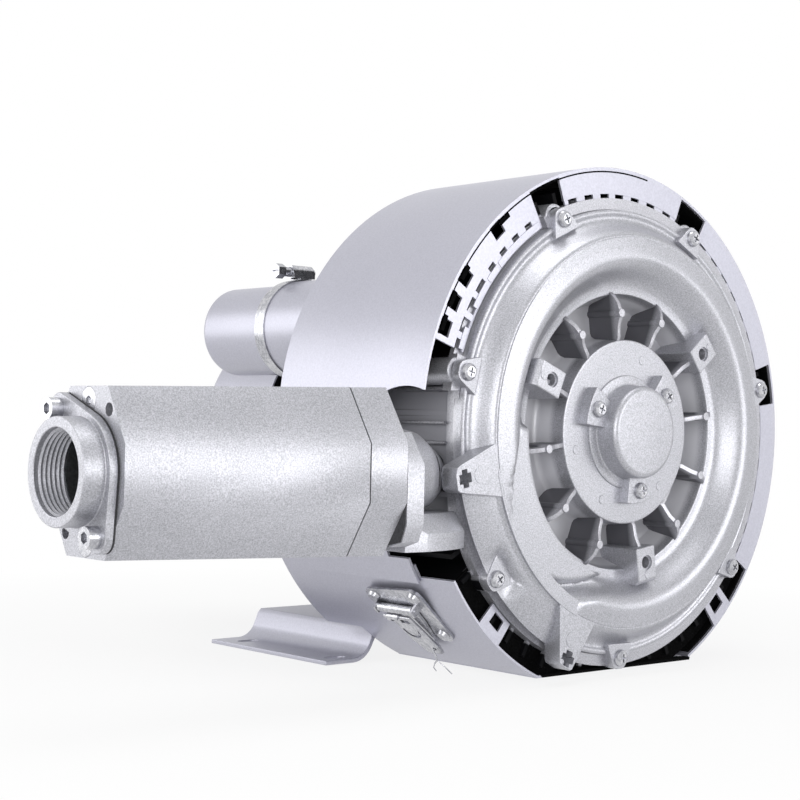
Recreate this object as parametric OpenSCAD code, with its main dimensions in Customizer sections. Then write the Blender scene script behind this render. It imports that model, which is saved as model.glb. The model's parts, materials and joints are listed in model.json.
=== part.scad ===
// Two-stage side channel blower with one octagonal silencer, a rear pipe
// and a sheet steel noise shroud.
// The shaft lies along Y and the front cover faces -Y.
// The origin is the centre of the four foot slots on the floor.

/* [Layout] */
// Height of the shaft axis above the floor
shaft_height = 140; // [138:1:160]
// Distance from the shroud's front edge back to the middle of the foot slots
foot_setback = 171.5; // [168:0.5:176]
// Turning of the seven cover lugs from the horizontal
lug_turn = 12.3; // [11:0.1:13.5]
// Turning of the cover ribs from the horizontal
rib_turn = 8.5; // [7:0.5:10]

/* [Shroud] */
// Depth of the upper shroud from front to back
shroud_depth = 122.6; // [118:0.2:124]
// Thickness of the shroud sheet
sheet_t = 1.5; // [1:0.1:2]
// Inner radius of the front tabs
tab_inner_r = 137; // [136:0.1:139]
// Inner radius of the wide tab beside the neck
wide_tab_inner_r = 129.5; // [129.2:0.1:130.5]
// Half angle that each front tab spans
tab_half_angle = 20.9; // [19:0.1:21.5]
// Depth of the lower tray
tray_depth = 148; // [146:0.5:149]
// Clear space between the cooling fins and the lower tray
tray_clearance = 5.7; // [5:0.1:6.5]
// Drop of the tray's flat bottom below the shaft axis
tray_drop = 137; // [136:0.2:137.8]
// Thickness of the damping felt inside the shroud
felt_t = 1.2; // [0.8:0.1:1.6]

/* [Front cover] */
// Radius of the cover's rim
rim_r = 127.7; // [127:0.1:128]
// Radius of the crease along the channel dome
crease_r = 111.7; // [110:0.1:113]
// Radius of the dome's highest line
crest_r = 100; // [98:0.5:102]
// Height of the dome in front of the shroud's edge
crest_h = 17.5; // [16.5:0.1:19]
// Height of the crease in front of the shroud's edge
crease_h = 15.1; // [14:0.1:16]
// Outer radius of the lip round the recess
lip_r = 82.5; // [81.5:0.1:83]
// Width of the lip round the recess
lip_w = 3.5; // [3:0.1:4]
// Height of the lip in front of the shroud's edge
lip_h = 4.1; // [3.6:0.1:5]
// Height of the rim bead in front of the shroud's edge
rim_h = 4.8; // [4.4:0.1:5.4]
// Depth of the recess floor behind the shroud's edge
recess_floor = 13; // [10:0.5:13]
// Radius of the hub plate
hub_r = 53; // [51:0.5:55]
// Height of the hub plate in front of the shroud's edge
hub_h = 7.6; // [7:0.1:8.4]
// Thickness of the radial ribs
rib_t = 2.4; // [2:0.1:3]
// Radius of the circle through the rib pins
pin_circle_r = 68.4; // [66:0.2:70]
// Diameter of the rib pins
pin_d = 5; // [4.4:0.1:6]
// Height of the rib pins in front of the shroud's edge
pin_h = 11.7; // [11:0.1:12.5]
// Radius of the circle through the three tapped bosses
boss_circle_r = 75.6; // [75:0.1:76.5]
// Width of the square tapped bosses
boss_w = 16; // [14:0.5:18]
// Height of the tapped bosses in front of the shroud's edge
boss_h = 15.3; // [14.5:0.1:16.5]
// Core diameter of the thread in the tapped bosses
boss_bore_d = 6.8; // [6.8:0.1:8.5]
// Radius of the circle through the cover screws
lug_circle_r = 129.5; // [129:0.1:130]
// Width of a lug at its widest
lug_w = 19; // [17:0.5:21]
// Height of the lugs in front of the shroud's edge
lug_h = 7; // [6.6:0.1:7.6]
// Level of the interrupter's flat face in front of the shroud's edge
stripper_h = 12; // [11:0.5:13]
// Wall thickness of the castings
casting_t = 4; // [3.5:0.1:4.5]

/* [Casings and impellers] */
// Outer radius of the impellers
impeller_r = 116; // [114:0.5:116.5]
// Axial width of an impeller's blade ring
impeller_w = 23.5; // [21:0.5:23.5]
// Depth of the first impeller's front face behind the shroud's edge
stage_1_y = 9.5; // [9:0.1:10]
// Depth of the second impeller's front face behind the shroud's edge
stage_2_y = 60.7; // [60.5:0.1:61]
// Number of blades on an impeller
blade_count = 36; // [24:1:44]
// Thickness of a blade
blade_t = 2.2; // [1.8:0.1:2.6]
// Running gap between an impeller and its casing
running_gap = 0.5; // [0.4:0.1:0.7]
// Wall of the casing barrel outside the impeller chamber
barrel_wall = 8; // [7:0.5:8.5]
// Height of the cooling fins
fin_h = 17; // [14:0.5:19]
// Number of cooling fins
fin_count = 56; // [42:7:56]
// Thickness of the cooling fins
fin_t = 2.6; // [2.2:0.1:3]
// Depth where the centre casing meets the rear casing
split_y = 60; // [59.8:0.1:60.2]
// Depth of the rear casing's back face
casing_back_y = 112; // [110:0.5:113]

/* [Shaft and bearings] */
// Diameter of the shaft at the front bearing
front_journal_d = 20; // [20:0.5:24]
// Diameter of the shaft through the impellers
impeller_seat_d = 24; // [24.5:0.5:28]
// Diameter of the shaft at the drive end bearing
drive_journal_d = 25; // [25:0.5:28]
// Outer diameter of the front bearing
front_bearing_d = 47; // [46:0.5:48]
// Width of the front bearing
front_bearing_w = 14; // [13:0.5:14.5]
// Outer diameter of the drive end bearing
drive_bearing_d = 52; // [50:0.5:54]
// Width of the drive end bearing
drive_bearing_w = 15; // [14:0.5:16]
// Outer diameter of the fan end bearing
fan_bearing_d = 42; // [40:0.5:44]
// Radial running clearance of the shaft in its bearings
journal_gap = 0.03; // [0.02:0.01:0.05]
// Outer radius of the bearing cap
cap_r = 26.3; // [26:0.1:27]
// Height of the bearing cap in front of the shroud's edge
cap_h = 22.6; // [22:0.1:23.5]
// Radius of the circle through the bearing cap's screws
cap_screw_circle_r = 33.9; // [33.5:0.1:34.5]

/* [Silencer] */
// Distance of the silencer's end plate from the shaft axis
plate_x = 348; // [330:1:360]
// Distance of the seam between the silencer's two castings
seam_x = 213; // [208:1:216]
// Distance of the silencer's inner end from the shaft axis
silencer_inner_x = 190; // [189:0.5:193]
// Depth of the silencer's axis behind the shroud's front edge
silencer_y = 1.8; // [0:0.1:3]
// Drop of the silencer's axis below the shaft axis
silencer_drop = 21.8; // [20:0.1:23]
// Half width of the octagon at the end plate
octagon_half_w = 31; // [29.5:0.5:33]
// Half height of the octagon at the end plate
octagon_half_h = 38; // [37:0.5:40]
// Half length of the octagon's upright faces
octagon_side = 13; // [12:0.5:14]
// Half length of the octagon's top and bottom faces
octagon_top = 16; // [15:0.5:17]
// Growth of the octagon per side from the end plate to the inner end
draft_growth = 3.8; // [2:0.1:4.5]
// Wall thickness of the silencer castings
silencer_t = 3; // [2.5:0.1:3.5]
// Outer radius of the threaded nozzle
nozzle_r = 24.4; // [24:0.1:25]
// Core diameter of the nozzle's pipe thread
nozzle_bore_d = 38.95; // [38:0.05:40]
// Distance that the nozzle stands out from its flange
nozzle_out = 10.8; // [9:0.2:13]
// Thickness of the nozzle's flange
nozzle_flange_t = 5; // [4.5:0.1:5.5]
// Distance of a flange bolt from the nozzle's axis
flange_bolt_r = 32.6; // [32.4:0.1:33]
// Slope of the line through the two flange bolts
flange_bolt_angle = 58; // [56:0.5:60]
// Radius of the perforated tube inside the silencer
inner_tube_r = 20; // [18:0.5:21]
// Thickness of the neck's flange
neck_t = 11; // [9:0.5:12]
// Radius of the neck's pipe where it leaves the flange
neck_r = 23; // [21.5:0.5:24]

/* [Rear pipe] */
// Sideways distance of the rear pipe's axis from the shaft axis
pipe_x = 94; // [92:0.5:95]
// Height of the rear pipe's axis above the shaft axis
pipe_z = 59; // [57:0.5:60]
// Outer radius of the rear pipe
pipe_r = 28; // [27:0.1:28.4]
// Wall thickness of the rear pipe
pipe_t = 2; // [1.5:0.1:2.5]
// Depth of the rear pipe's open end
pipe_end_y = 245; // [235:1:255]
// Outer radius of the pipe sleeve
sleeve_r = 30; // [29.8:0.1:31]
// Depth of the sleeve's clamped end
sleeve_end_y = 184.5; // [182:0.5:188]
// Width of the hose clamp's band
band_w = 9; // [8:0.5:12]
// Thickness of the hose clamp's band
band_t = 0.8; // [0.6:0.1:1]

/* [Motor] */
// Radius of the motor barrel without fins
motor_r = 54; // [52:0.5:55]
// Outer radius of the motor's fins
motor_fin_r = 62; // [61:0.5:63]
// Number of the motor's fins
motor_fin_count = 32; // [24:4:36]
// Depth of the motor barrel's rear end
motor_end_y = 240; // [238:1:244]
// Outer radius of the fan cowl
cowl_r = 66.5; // [65.5:0.5:68]
// Depth of the fan cowl's rear face
cowl_end_y = 321; // [315:1:330]
// Length of the fan cowl
cowl_length = 72; // [70:1:76]
// Thickness of the cowl's sheet
cowl_t = 1.2; // [1:0.1:1.5]
// Diameter of the stator bore
stator_bore_d = 60; // [58:0.5:62]

/* [Foot] */
// Thickness of the foot plate
foot_t = 2.5; // [2:0.1:3]
// Sideways distance of the foot slots from the shaft axis
slot_x = 102; // [101:0.5:104]
// Distance between the two foot slots on one side
slot_pitch = 87; // [80:1:90]
// Width of a foot slot
slot_w = 7; // [6.6:0.1:8]
// Length of a foot slot
slot_l = 14; // [12:0.5:16]
// Sideways distance of the foot's outer edge from the shaft axis
foot_half_w = 117; // [115:0.5:120]
// Length of the foot along the shaft
foot_l = 116; // [112:1:120]
// Height of the foot's top face above the floor
foot_rise = 20; // [18:0.5:21]

/* [Latch] */
// Turning of the latch's middle round the shaft axis
latch_turn = -134; // [-135:0.5:-133]
// Depth of the latch's middle
latch_y = 55; // [52:0.5:58]
// Length of the lever
lever_l = 36; // [34:0.5:38]
// Width of the lever
lever_w = 28; // [26:0.5:30]
// Thickness of the latch's plates
latch_t = 1.5; // [1.2:0.1:1.8]
// Diameter of the latch's hinge pin
latch_pin_d = 3; // [2.6:0.1:3.4]
// Diameter of the bail's wire
bail_d = 2.6; // [2.2:0.1:3]

/* [Hidden] */
$fn = 64;
clearance = 0.3;
small_gap = 0.1;
lug_count = 7;
rib_count = 12;
lug_pitch = 360 / lug_count;
boss_turn = rib_turn + 30;
tab_turns = [for (k = [-1 : 2]) lug_turn + lug_pitch * (k + 0.5)];
stripper_from = 190.5;
stripper_to = 246.6;
stripper_mid = (stripper_from + stripper_to) / 2;
dome_from = stripper_to - 370;
dome_to = stripper_from + 6;
// Cover
recess_r = lip_r - lip_w;
chamber_r = impeller_r + 2;
barrel_r = chamber_r + barrel_wall;
fin_r = barrel_r + fin_h;
tray_r = fin_r + tray_clearance + sheet_t;
shroud_r = tray_r + 0.5 + sheet_t;
blade_inner_r = 79;
wall_root_r = blade_inner_r - 1;
cover_seat_y = 2;
ring_r = 134.4;
ring_front = 1.5;
dome_foot_r = 122;
band_inner_r = 104;
stripper_rim_r = 133;
cavity_depth = 9;
screw_hole_d = 5.5;
m5_head_r = 4.8;
m5_head_h = 3;
// Bearings and shaft
front_bearing_y = -hub_h + 1;
hub_back_y = stage_1_y + 8;
drive_bearing_y = casing_back_y - drive_bearing_w;
fan_bearing_w = 12;
fan_journal_d = 20;
fan_bearing_y = motor_end_y + 1;
shield_t = 16;
cowl_front_y = cowl_end_y - cowl_length;
shaft_front_y = front_bearing_y - 2;
shaft_back_y = fan_bearing_y + 46;
flange_back_y = casing_back_y + 12;
barrel_front_y = flange_back_y;
web_w = 4;
channel_outer_r = impeller_r - 1;
wall_1_y = stage_1_y + impeller_w + running_gap;
wall_2_y = stage_2_y + impeller_w + running_gap;
channel_depth = 11;
// Silencer
plate_t = 8;
flange_y = silencer_y;
seam_gap = 0.8;
draft_at_seam = draft_growth * (plate_x - seam_x) / (plate_x - silencer_inner_x);
bolt_dy = flange_bolt_r * cos(flange_bolt_angle);
bolt_dz = flange_bolt_r * sin(flange_bolt_angle);
nozzle_face_x = plate_x + nozzle_flange_t + nozzle_out;
neck_root_x = 127;
neck_y = 22;
neck_bore_r = 17;
tie_screw_dz = 31.5;
// Foot
floor_z = -shaft_height;
foot_front_y = foot_setback - 54;
foot_top_z = floor_z + foot_rise;
foot_deck_half = 80;
foot_toe = 96;
pedestal_y = 190;
// Latch
latch_r = tray_r;
hinge_out = 4.3;
hinge_z = -14.9;
lever_lift = 1.9;
bail_x = lever_lift + latch_t + bail_d / 2 + 0.5;
bail_z = -8.6;

// Moves a part from the machine's axes to the frame on the floor.
module place() {
  translate([0, -foot_setback, shaft_height]) children();
}

// Points along a smooth curve from one point to another that starts and
// ends level.
function ease(p, q, steps) = [
  for (i = [1 : steps - 1])
    let (t = i / steps)
    [p[0] + (q[0] - p[0]) * t, p[1] + (q[1] - p[1]) * (1 - cos(180 * t)) / 2]
];

// Points on an arc round a centre.
function arc(centre, r, from, to, steps) = [
  for (i = [0 : steps])
    let (a = from + (to - from) * i / steps)
    [centre[0] + r * cos(a), centre[1] + r * sin(a)]
];

// Turns a profile of radius and depth round the shaft axis, from one angle
// to another, counted against the clock as seen from the front.
module turned(profile, from = 0, to = 360) {
  rotate([90, 0, 0]) rotate([0, 0, from]) rotate_extrude(angle = to - from)
    polygon([for (p = profile) [p[0], -p[1]]]);
}

// Draws a flat outline, as seen from the front, from depth y back by t.
module slab(y, t) {
  translate([0, y + t, 0]) rotate([90, 0, 0]) linear_extrude(t) children();
}

// A round bar along the shaft.
module bar(y, length, r) {
  slab(y, length) circle(r);
}

// Puts a part at an angle round the shaft axis.
module at_angle(a) {
  rotate([0, -a, 0]) children();
}

// A sector of a ring as a flat outline.
module sector(r_in, r_out, from, to, steps = 24) {
  polygon(concat(arc([0, 0], r_out, from, to, steps), arc([0, 0], r_in, to, from, steps)));
}

// A pan head screw with its head towards the front.
module pan_screw(length, head_r = m5_head_r, head_h = m5_head_h, shank_r = 2.5) {
  difference() {
    turned([[0, -head_h], [head_r * 0.62, -head_h], [head_r * 0.9, -head_h * 0.7],
            [head_r, -head_h * 0.3], [head_r, 0], [shank_r, 0], [shank_r, length], [0, length]]);
    for (a = [0, 90]) {
      at_angle(a) translate([-head_r * 0.5, -head_h - 1, -0.5]) cube([head_r, 2.6, 1]);
    }
  }
}

// A socket head screw along X with its head towards -X.
module socket_screw(length, head_r = 5, head_h = 6, shank_r = 3) {
  rotate([0, 90, 0]) difference() {
    union() {
      translate([0, 0, -head_h]) cylinder(r = head_r, h = head_h);
      cylinder(r = shank_r, h = length);
    }
    translate([0, 0, -head_h - 1]) cylinder(r = head_r * 0.55, h = 4, $fn = 6);
  }
}

// Front cover
function dome_profile() = concat(
  [[lip_r + 0.4, 0], [lip_r + 0.4, -lip_h + 0.6]],
  ease([lip_r + 0.4, -lip_h + 0.6], [crest_r, -crest_h], 6),
  [[crest_r, -crest_h]],
  ease([crest_r, -crest_h], [crease_r, -crease_h], 3),
  [[crease_r, -crease_h]],
  ease([crease_r, -crease_h], [dome_foot_r, -lip_h + 1.4], 5),
  [[dome_foot_r, -lip_h + 1.4], [dome_foot_r, 0]]
);

// Flat land of the interrupter, with its raised band along the crease.
function land_profile() = [
  [lip_r + 0.2, 0.5], [lip_r + 0.2, -lip_h - 1], [lip_r + 2, -stripper_h],
  [band_inner_r, -stripper_h], [band_inner_r + 1, -crease_h], [crease_r, -crease_h],
  [crease_r, 0.5]
];

// Concave scoop from the band down to the bulged rim.
function scoop_profile() = concat(
  [[crease_r - 3, -0.5], [crease_r - 3, -crease_h + 0.4], [crease_r + 0.4, -crease_h + 0.4]],
  ease([crease_r + 0.4, -crease_h + 0.4], [stripper_rim_r - 3, -rim_h - 0.4], 5),
  [[stripper_rim_r - 3, -rim_h - 0.4], [stripper_rim_r, -rim_h - 0.4], [stripper_rim_r, -1.8],
   [rim_r - 2, -1.8], [rim_r - 2, -0.5]]
);

module cover_shell() {
  turned([
    [front_bearing_d / 2, -hub_h], [hub_r - 1, -hub_h], [hub_r, -hub_h + 1],
    [hub_r + 1.5, recess_floor], [wall_root_r - casting_t, recess_floor], [recess_r, -lip_h],
    [lip_r, -lip_h], [dome_foot_r - 2, -lip_h + 0.6], [rim_r - 4, -lip_h + 0.6],
    [rim_r - 3.4, -rim_h], [rim_r, -rim_h], [rim_r, cover_seat_y],
    [chamber_r - clearance, cover_seat_y], [chamber_r - clearance, stage_1_y - running_gap],
    [wall_root_r, stage_1_y - running_gap],
    [wall_root_r, hub_back_y - running_gap], [14, hub_back_y - running_gap],
    [14, front_bearing_y + front_bearing_w], [front_bearing_d / 2, front_bearing_y + front_bearing_w]
  ]);
  turned(dome_profile(), dome_from, dome_to);
  turned(land_profile(), dome_to - 0.6, dome_from + 360.6);
  turned(scoop_profile(), stripper_from, stripper_to);
}

// Side channel of the first stage, cut from behind.
module cover_channel() {
  turned(concat(
    [[lip_r + 1, stage_1_y]], [[lip_r + 1, -lip_h + casting_t]],
    ease([lip_r + 1, -lip_h + casting_t], [crest_r, -crest_h + casting_t], 4),
    [[crest_r, -crest_h + casting_t]],
    ease([crest_r, -crest_h + casting_t], [channel_outer_r, stage_1_y - 8], 4),
    [[channel_outer_r, stage_1_y]]
  ), dome_from + 8, dome_to - 8);
}

// One radial rib of the recess with its round pin.
module cover_rib() {
  rib_out_r = lip_r + 5;
  translate([0, 0, -rib_t / 2]) linear_extrude(rib_t) polygon([
    [hub_r - 1, -hub_h + 0.6], [hub_r + 6, -hub_h - 1], [pin_circle_r, -pin_h + 0.6],
    [lip_r, -pin_h + 0.2], [rib_out_r, -pin_h - 0.6], [rib_out_r, -2.5],
    [recess_r + 1, -2.5], [recess_r + 1, 3], [wall_root_r - 2, 8],
    [wall_root_r - 2, recess_floor + 1.2], [hub_r, recess_floor + 1.2]
  ]);
}

module rib_pin() {
  translate([pin_circle_r, 0, 0]) bar(-pin_h, recess_floor + pin_h + 1, pin_d / 2);
}

// One square boss, before its hole is tapped.
module tapped_boss() {
  translate([0, 0, -boss_w / 2]) linear_extrude(boss_w) polygon([
    [boss_circle_r - 10, -boss_h + 1.2], [boss_circle_r - 8.8, -boss_h], [boss_circle_r + 11, -boss_h],
    [boss_circle_r + 12.4, -boss_h + 1.4], [boss_circle_r + 12.4, -lip_h], [recess_r + 1.2, -lip_h + 2],
    [recess_r + 1.2, 3], [wall_root_r - 2, 8], [wall_root_r - 2, recess_floor + 0.8],
    [boss_circle_r - 8.6, recess_floor + 0.8]
  ]);
}

// One lug: a wedge-shaped ear, narrow at its screw.
module cover_lug() {
  slab(-lug_h, lug_h - ring_front) polygon([
    [lug_circle_r - 13, -lug_w / 2 - 1.5], [lug_circle_r - 4, -lug_w / 2],
    [lug_circle_r + 5, -lug_w / 2 + 4.5], [lug_circle_r + 5, lug_w / 2 - 4.5],
    [lug_circle_r - 4, lug_w / 2], [lug_circle_r - 13, lug_w / 2 + 1.5]
  ]);
}

// One arm that carries the dome's end out past the rim, with its slot.
module cover_arm() {
  arm_tip_r = 142;
  slot_r = 136.5;
  difference() {
    slab(-crease_h - 0.1, 12) polygon([
      [crease_r - 5, -15], [crease_r + 6, -14], [arm_tip_r - 3, -7.5], [arm_tip_r, -5.5],
      [arm_tip_r, 5.5], [arm_tip_r - 3, 7.5], [crease_r + 6, 14], [crease_r - 5, 15]
    ]);
    translate([slot_r, 0, 0]) {
      slab(-crease_h - 1, 9) square([8, 5], center = true);
      slab(-crease_h - 1, 9) square([3, 8], center = true);
    }
  }
}

module front_cover() {
  color("silver") place() difference() {
    union() {
      cover_shell();
      for (k = [0 : rib_count - 1]) {
        at_angle(rib_turn + 30 * k) {
          cover_rib();
          if (k % 4 != 1) rib_pin();
        }
      }
      for (k = [0 : 2]) {
        at_angle(boss_turn + 120 * k) tapped_boss();
      }
      for (k = [0 : lug_count - 1]) {
        at_angle(lug_turn + lug_pitch * k) cover_lug();
      }
      for (a = [stripper_from - 1, stripper_to]) {
        at_angle(a) cover_arm();
      }
    }
    cover_channel();
    for (k = [0 : lug_count - 1]) {
      at_angle(lug_turn + lug_pitch * k) translate([lug_circle_r, 0, 0])
        bar(-lug_h - 1, lug_h + 6, screw_hole_d / 2);
    }
    for (k = [0 : 2]) {
      at_angle(boss_turn + 120 * k) {
        translate([cap_screw_circle_r, 0, 0]) bar(-hub_h - 1, 12, 2.5);
        translate([boss_circle_r, 0, 0]) bar(-boss_h - 1, 19, boss_bore_d / 2);
      }
    }
  }
}

module cover_screws() {
  color("gainsboro") place() for (k = [0 : lug_count - 1]) {
    at_angle(lug_turn + lug_pitch * k) translate([lug_circle_r, -lug_h, 0]) pan_screw(22);
  }
}

module bearing_cap() {
  ear_out_r = 41;
  ear_h = 6.7;
  color("silver") place() difference() {
    union() {
      turned([
        [0, -cap_h + 3], [0, -cap_h], [cap_r - 1.6, -cap_h], [cap_r, -cap_h + 1.6],
        [cap_r + 0.8, -hub_h], [cap_r - 4, -hub_h], [cap_r - 4, -cap_h + 3]
      ]);
      for (k = [0 : 2]) {
        slab(-hub_h - ear_h, ear_h)
          sector(cap_r - 1, ear_out_r, boss_turn + 120 * k - 17, boss_turn + 120 * k + 17, 8);
      }
    }
    for (k = [0 : 2]) {
      at_angle(boss_turn + 120 * k) translate([cap_screw_circle_r, 0, 0])
        bar(-hub_h - ear_h - 1, ear_h + 2, screw_hole_d / 2);
    }
  }
}

module cap_screws() {
  color("gainsboro") place() for (k = [0 : 2]) {
    at_angle(boss_turn + 120 * k) translate([cap_screw_circle_r, -hub_h - 6.7, 0])
      pan_screw(16);
  }
}

// Radial cooling fins between two depths, cut flat above the tray.
module cooling_fins(from, to) {
  intersection() {
    union() {
      for (k = [0 : fin_count - 1]) {
        at_angle(lug_turn + 360 / fin_count * (k + 0.5))
          translate([barrel_r - 1.5, from, -fin_t / 2]) cube([fin_r - barrel_r + 1.5, to - from, fin_t]);
      }
    }
    translate([-barrel_r, from - 1, -tray_drop + 2.5])
      cube([2 * barrel_r + 60, to - from + 2, 2 * fin_r + 20]);
  }
}

// Side channel as a ring cut, deepest at its middle radius.
module channel_cut(y, depth, from, to) {
  mid_r = (lip_r + channel_outer_r) / 2;
  turned(concat(
    [[lip_r, y]], ease([lip_r, y], [mid_r, y + depth], 4), [[mid_r, y + depth]],
    ease([mid_r, y + depth], [channel_outer_r, y], 4), [[channel_outer_r, y]]
  ), from, to);
}

module centre_casing() {
  color("silver") place() difference() {
    union() {
      turned([
        [14.5, wall_1_y], [chamber_r, wall_1_y], [chamber_r, cover_seat_y], [rim_r + clearance, cover_seat_y],
        [rim_r + clearance, -ring_front], [ring_r, -ring_front], [ring_r, 5], [barrel_r, 8],
        [barrel_r, split_y], [14.5, split_y]
      ]);
      cooling_fins(3, split_y);
      for (k = [0 : lug_count - 1]) {
        at_angle(lug_turn + lug_pitch * k) translate([lug_circle_r, 0, 0])
          bar(-ring_front, 26, 7.2);
      }
    }
    channel_cut(wall_1_y - small_gap, channel_depth, dome_from + 8, dome_to - 8);
    channel_cut(split_y + small_gap, -channel_depth + 1.5, dome_from + 8, dome_to - 8);
    turned([[barrel_r - 3.6, split_y - 1.4], [barrel_r - 1, split_y - 1.4],
            [barrel_r - 1, split_y + 1], [barrel_r - 3.6, split_y + 1]]);
    for (k = [0 : lug_count - 1]) {
      at_angle(lug_turn + lug_pitch * k) translate([lug_circle_r, 0, 0])
        bar(-ring_front - 1, 20, 2.5);
    }
    // seat of the cover's rim, also through the lug bosses
    turned([[chamber_r - 6, -ring_front - 1], [rim_r + clearance, -ring_front - 1],
            [rim_r + clearance, cover_seat_y], [chamber_r - 6, cover_seat_y]]);
    // seat of the shroud's wide tab
    turned([[rim_r, -ring_front - 1], [ring_r + 8, -ring_front - 1],
            [ring_r + 8, sheet_t + clearance], [rim_r, sheet_t + clearance]],
           tab_turns[3] - tab_half_angle - 1, tab_turns[3] + tab_half_angle + 1);
    // flat for the tray's bottom
    translate([-60, -ring_front - 1, -tray_drop - 10])
      cube([120, split_y + 3, 10 + sheet_t + clearance]);
    // clear room for the interrupter's wider rim and arms
    turned([[rim_r, -ring_front - 1], [stripper_rim_r + 12, -ring_front - 1],
            [stripper_rim_r + 12, -1], [rim_r, -1]], stripper_from - 8, stripper_to + 8);
    // inlet from the neck
    translate([-neck_root_x - 20, neck_y, -silencer_drop - 2]) rotate([0, 90, 0])
      cylinder(r = 12, h = 45);
    // wedge of fins left out where the neck stands
    translate([-neck_root_x - 40, -4, -silencer_drop - 42]) cube([40, 64.1 + 0, 84]);
  }
}

module rear_casing() {
  color("silver") place() difference() {
    union() {
      turned([
        [chamber_r, split_y], [barrel_r, split_y], [barrel_r, casing_back_y - 12],
        [barrel_r - 14, casing_back_y], [78, casing_back_y], [78, flange_back_y],
        [drive_bearing_d / 2, flange_back_y], [drive_bearing_d / 2, casing_back_y - drive_bearing_w],
        [16, casing_back_y - drive_bearing_w], [16, wall_2_y], [chamber_r, wall_2_y]
      ]);
      cooling_fins(split_y, casing_back_y - 14);
      // stub for the rear pipe's sleeve
      translate([-pipe_x, 0, pipe_z]) bar(casing_back_y - 12, 22, sleeve_r - 3);
    }
    channel_cut(wall_2_y - small_gap, channel_depth, dome_from + 8, dome_to - 8);
    translate([-pipe_x, 0, pipe_z]) bar(wall_2_y + 6, 60, pipe_r - pipe_t - 3);
  }
}

module casing_seal() {
  color("dimgray") place() turned([
    [barrel_r - 3.4, split_y - 1.2], [barrel_r - 1.2, split_y - 1.2],
    [barrel_r - 1.2, split_y - 0.2], [barrel_r - 3.4, split_y - 0.2]
  ]);
}

// One impeller: a hub disc, a middle web and radial blades on both sides.
module impeller(y) {
  hub_w = 9;
  rim_w = 3;
  mid_y = y + impeller_w / 2;
  difference() {
    union() {
      turned([
        [impeller_seat_d / 2 + 0.06, mid_y - 3.7], [24, mid_y - 3.7],
        [blade_inner_r, mid_y - web_w / 2 - 1], [blade_inner_r, y],
        [blade_inner_r + rim_w, y], [blade_inner_r + rim_w + 6, mid_y - web_w / 2],
        [impeller_r, mid_y - web_w / 2], [impeller_r, mid_y + web_w / 2],
        [blade_inner_r + rim_w + 6, mid_y + web_w / 2], [blade_inner_r + rim_w, y + impeller_w],
        [blade_inner_r, y + impeller_w], [blade_inner_r, mid_y + web_w / 2 + 1],
        [24, mid_y + hub_w / 2 - 1], [24, mid_y + 9], [impeller_seat_d / 2 + 0.06, mid_y + 9]
      ]);
      for (k = [0 : blade_count - 1]) {
        at_angle(360 / blade_count * (k + 0.5))
          translate([blade_inner_r + 1.2, y + 0.1, -blade_t / 2])
            cube([impeller_r - blade_inner_r - 1.6, impeller_w - 0.2, blade_t]);
      }
    }
  }
}

module impeller_front() {
  color("lightsteelblue") place() impeller(stage_1_y);
}

module impeller_rear() {
  color("lightsteelblue") place() impeller(stage_2_y);
}

module shaft() {
  color("slategray") place() union() {
    turned([
      [0, shaft_front_y], [front_journal_d / 2 - 1, shaft_front_y],
      [front_journal_d / 2, shaft_front_y + 1], [front_journal_d / 2, front_bearing_y + front_bearing_w + 2],
      [impeller_seat_d / 2, front_bearing_y + front_bearing_w + 2],
      [impeller_seat_d / 2, drive_bearing_y - 4], [drive_journal_d / 2, drive_bearing_y - 4],
      [drive_journal_d / 2, drive_bearing_y + drive_bearing_w + 6],
      [16, drive_bearing_y + drive_bearing_w + 6], [16, motor_end_y - 6],
      [fan_journal_d / 2, motor_end_y - 6], [fan_journal_d / 2, fan_bearing_y + fan_bearing_w + 4],
      [8, fan_bearing_y + fan_bearing_w + 4], [8, shaft_back_y], [0, shaft_back_y]
    ]);
  }
}

// A sealed ball bearing with its races and end shields.
module bearing(y, outer_d, width, bore_d) {
  groove = 0.6;
  bore_r = bore_d / 2 + journal_gap;
  turned([
    [bore_r, y + 0.4], [bore_r + 0.4, y], [bore_r + 3, y], [bore_r + 3, y + groove],
    [outer_d / 2 - 3.4, y + groove], [outer_d / 2 - 3.4, y], [outer_d / 2 - 0.4, y],
    [outer_d / 2, y + 0.4], [outer_d / 2, y + width - 0.4], [outer_d / 2 - 0.4, y + width],
    [outer_d / 2 - 3.4, y + width], [outer_d / 2 - 3.4, y + width - groove],
    [bore_r + 3, y + width - groove], [bore_r + 3, y + width], [bore_r + 0.4, y + width],
    [bore_r, y + width - 0.4]
  ]);
}

module front_bearing() {
  color("lightgray") place() bearing(front_bearing_y, front_bearing_d, front_bearing_w, front_journal_d);
}

module drive_bearing() {
  color("lightgray") place() bearing(drive_bearing_y, drive_bearing_d, drive_bearing_w, drive_journal_d);
}

module fan_bearing() {
  color("lightgray") place() bearing(fan_bearing_y, fan_bearing_d, fan_bearing_w, fan_journal_d);
}

module shaft_seal() {
  seal_y = wall_1_y + 12;
  color("black") place() turned([
    [impeller_seat_d / 2 + clearance, seal_y], [14.4, seal_y], [14.4, seal_y + 7],
    [impeller_seat_d / 2 + clearance, seal_y + 7]
  ]);
}

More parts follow.
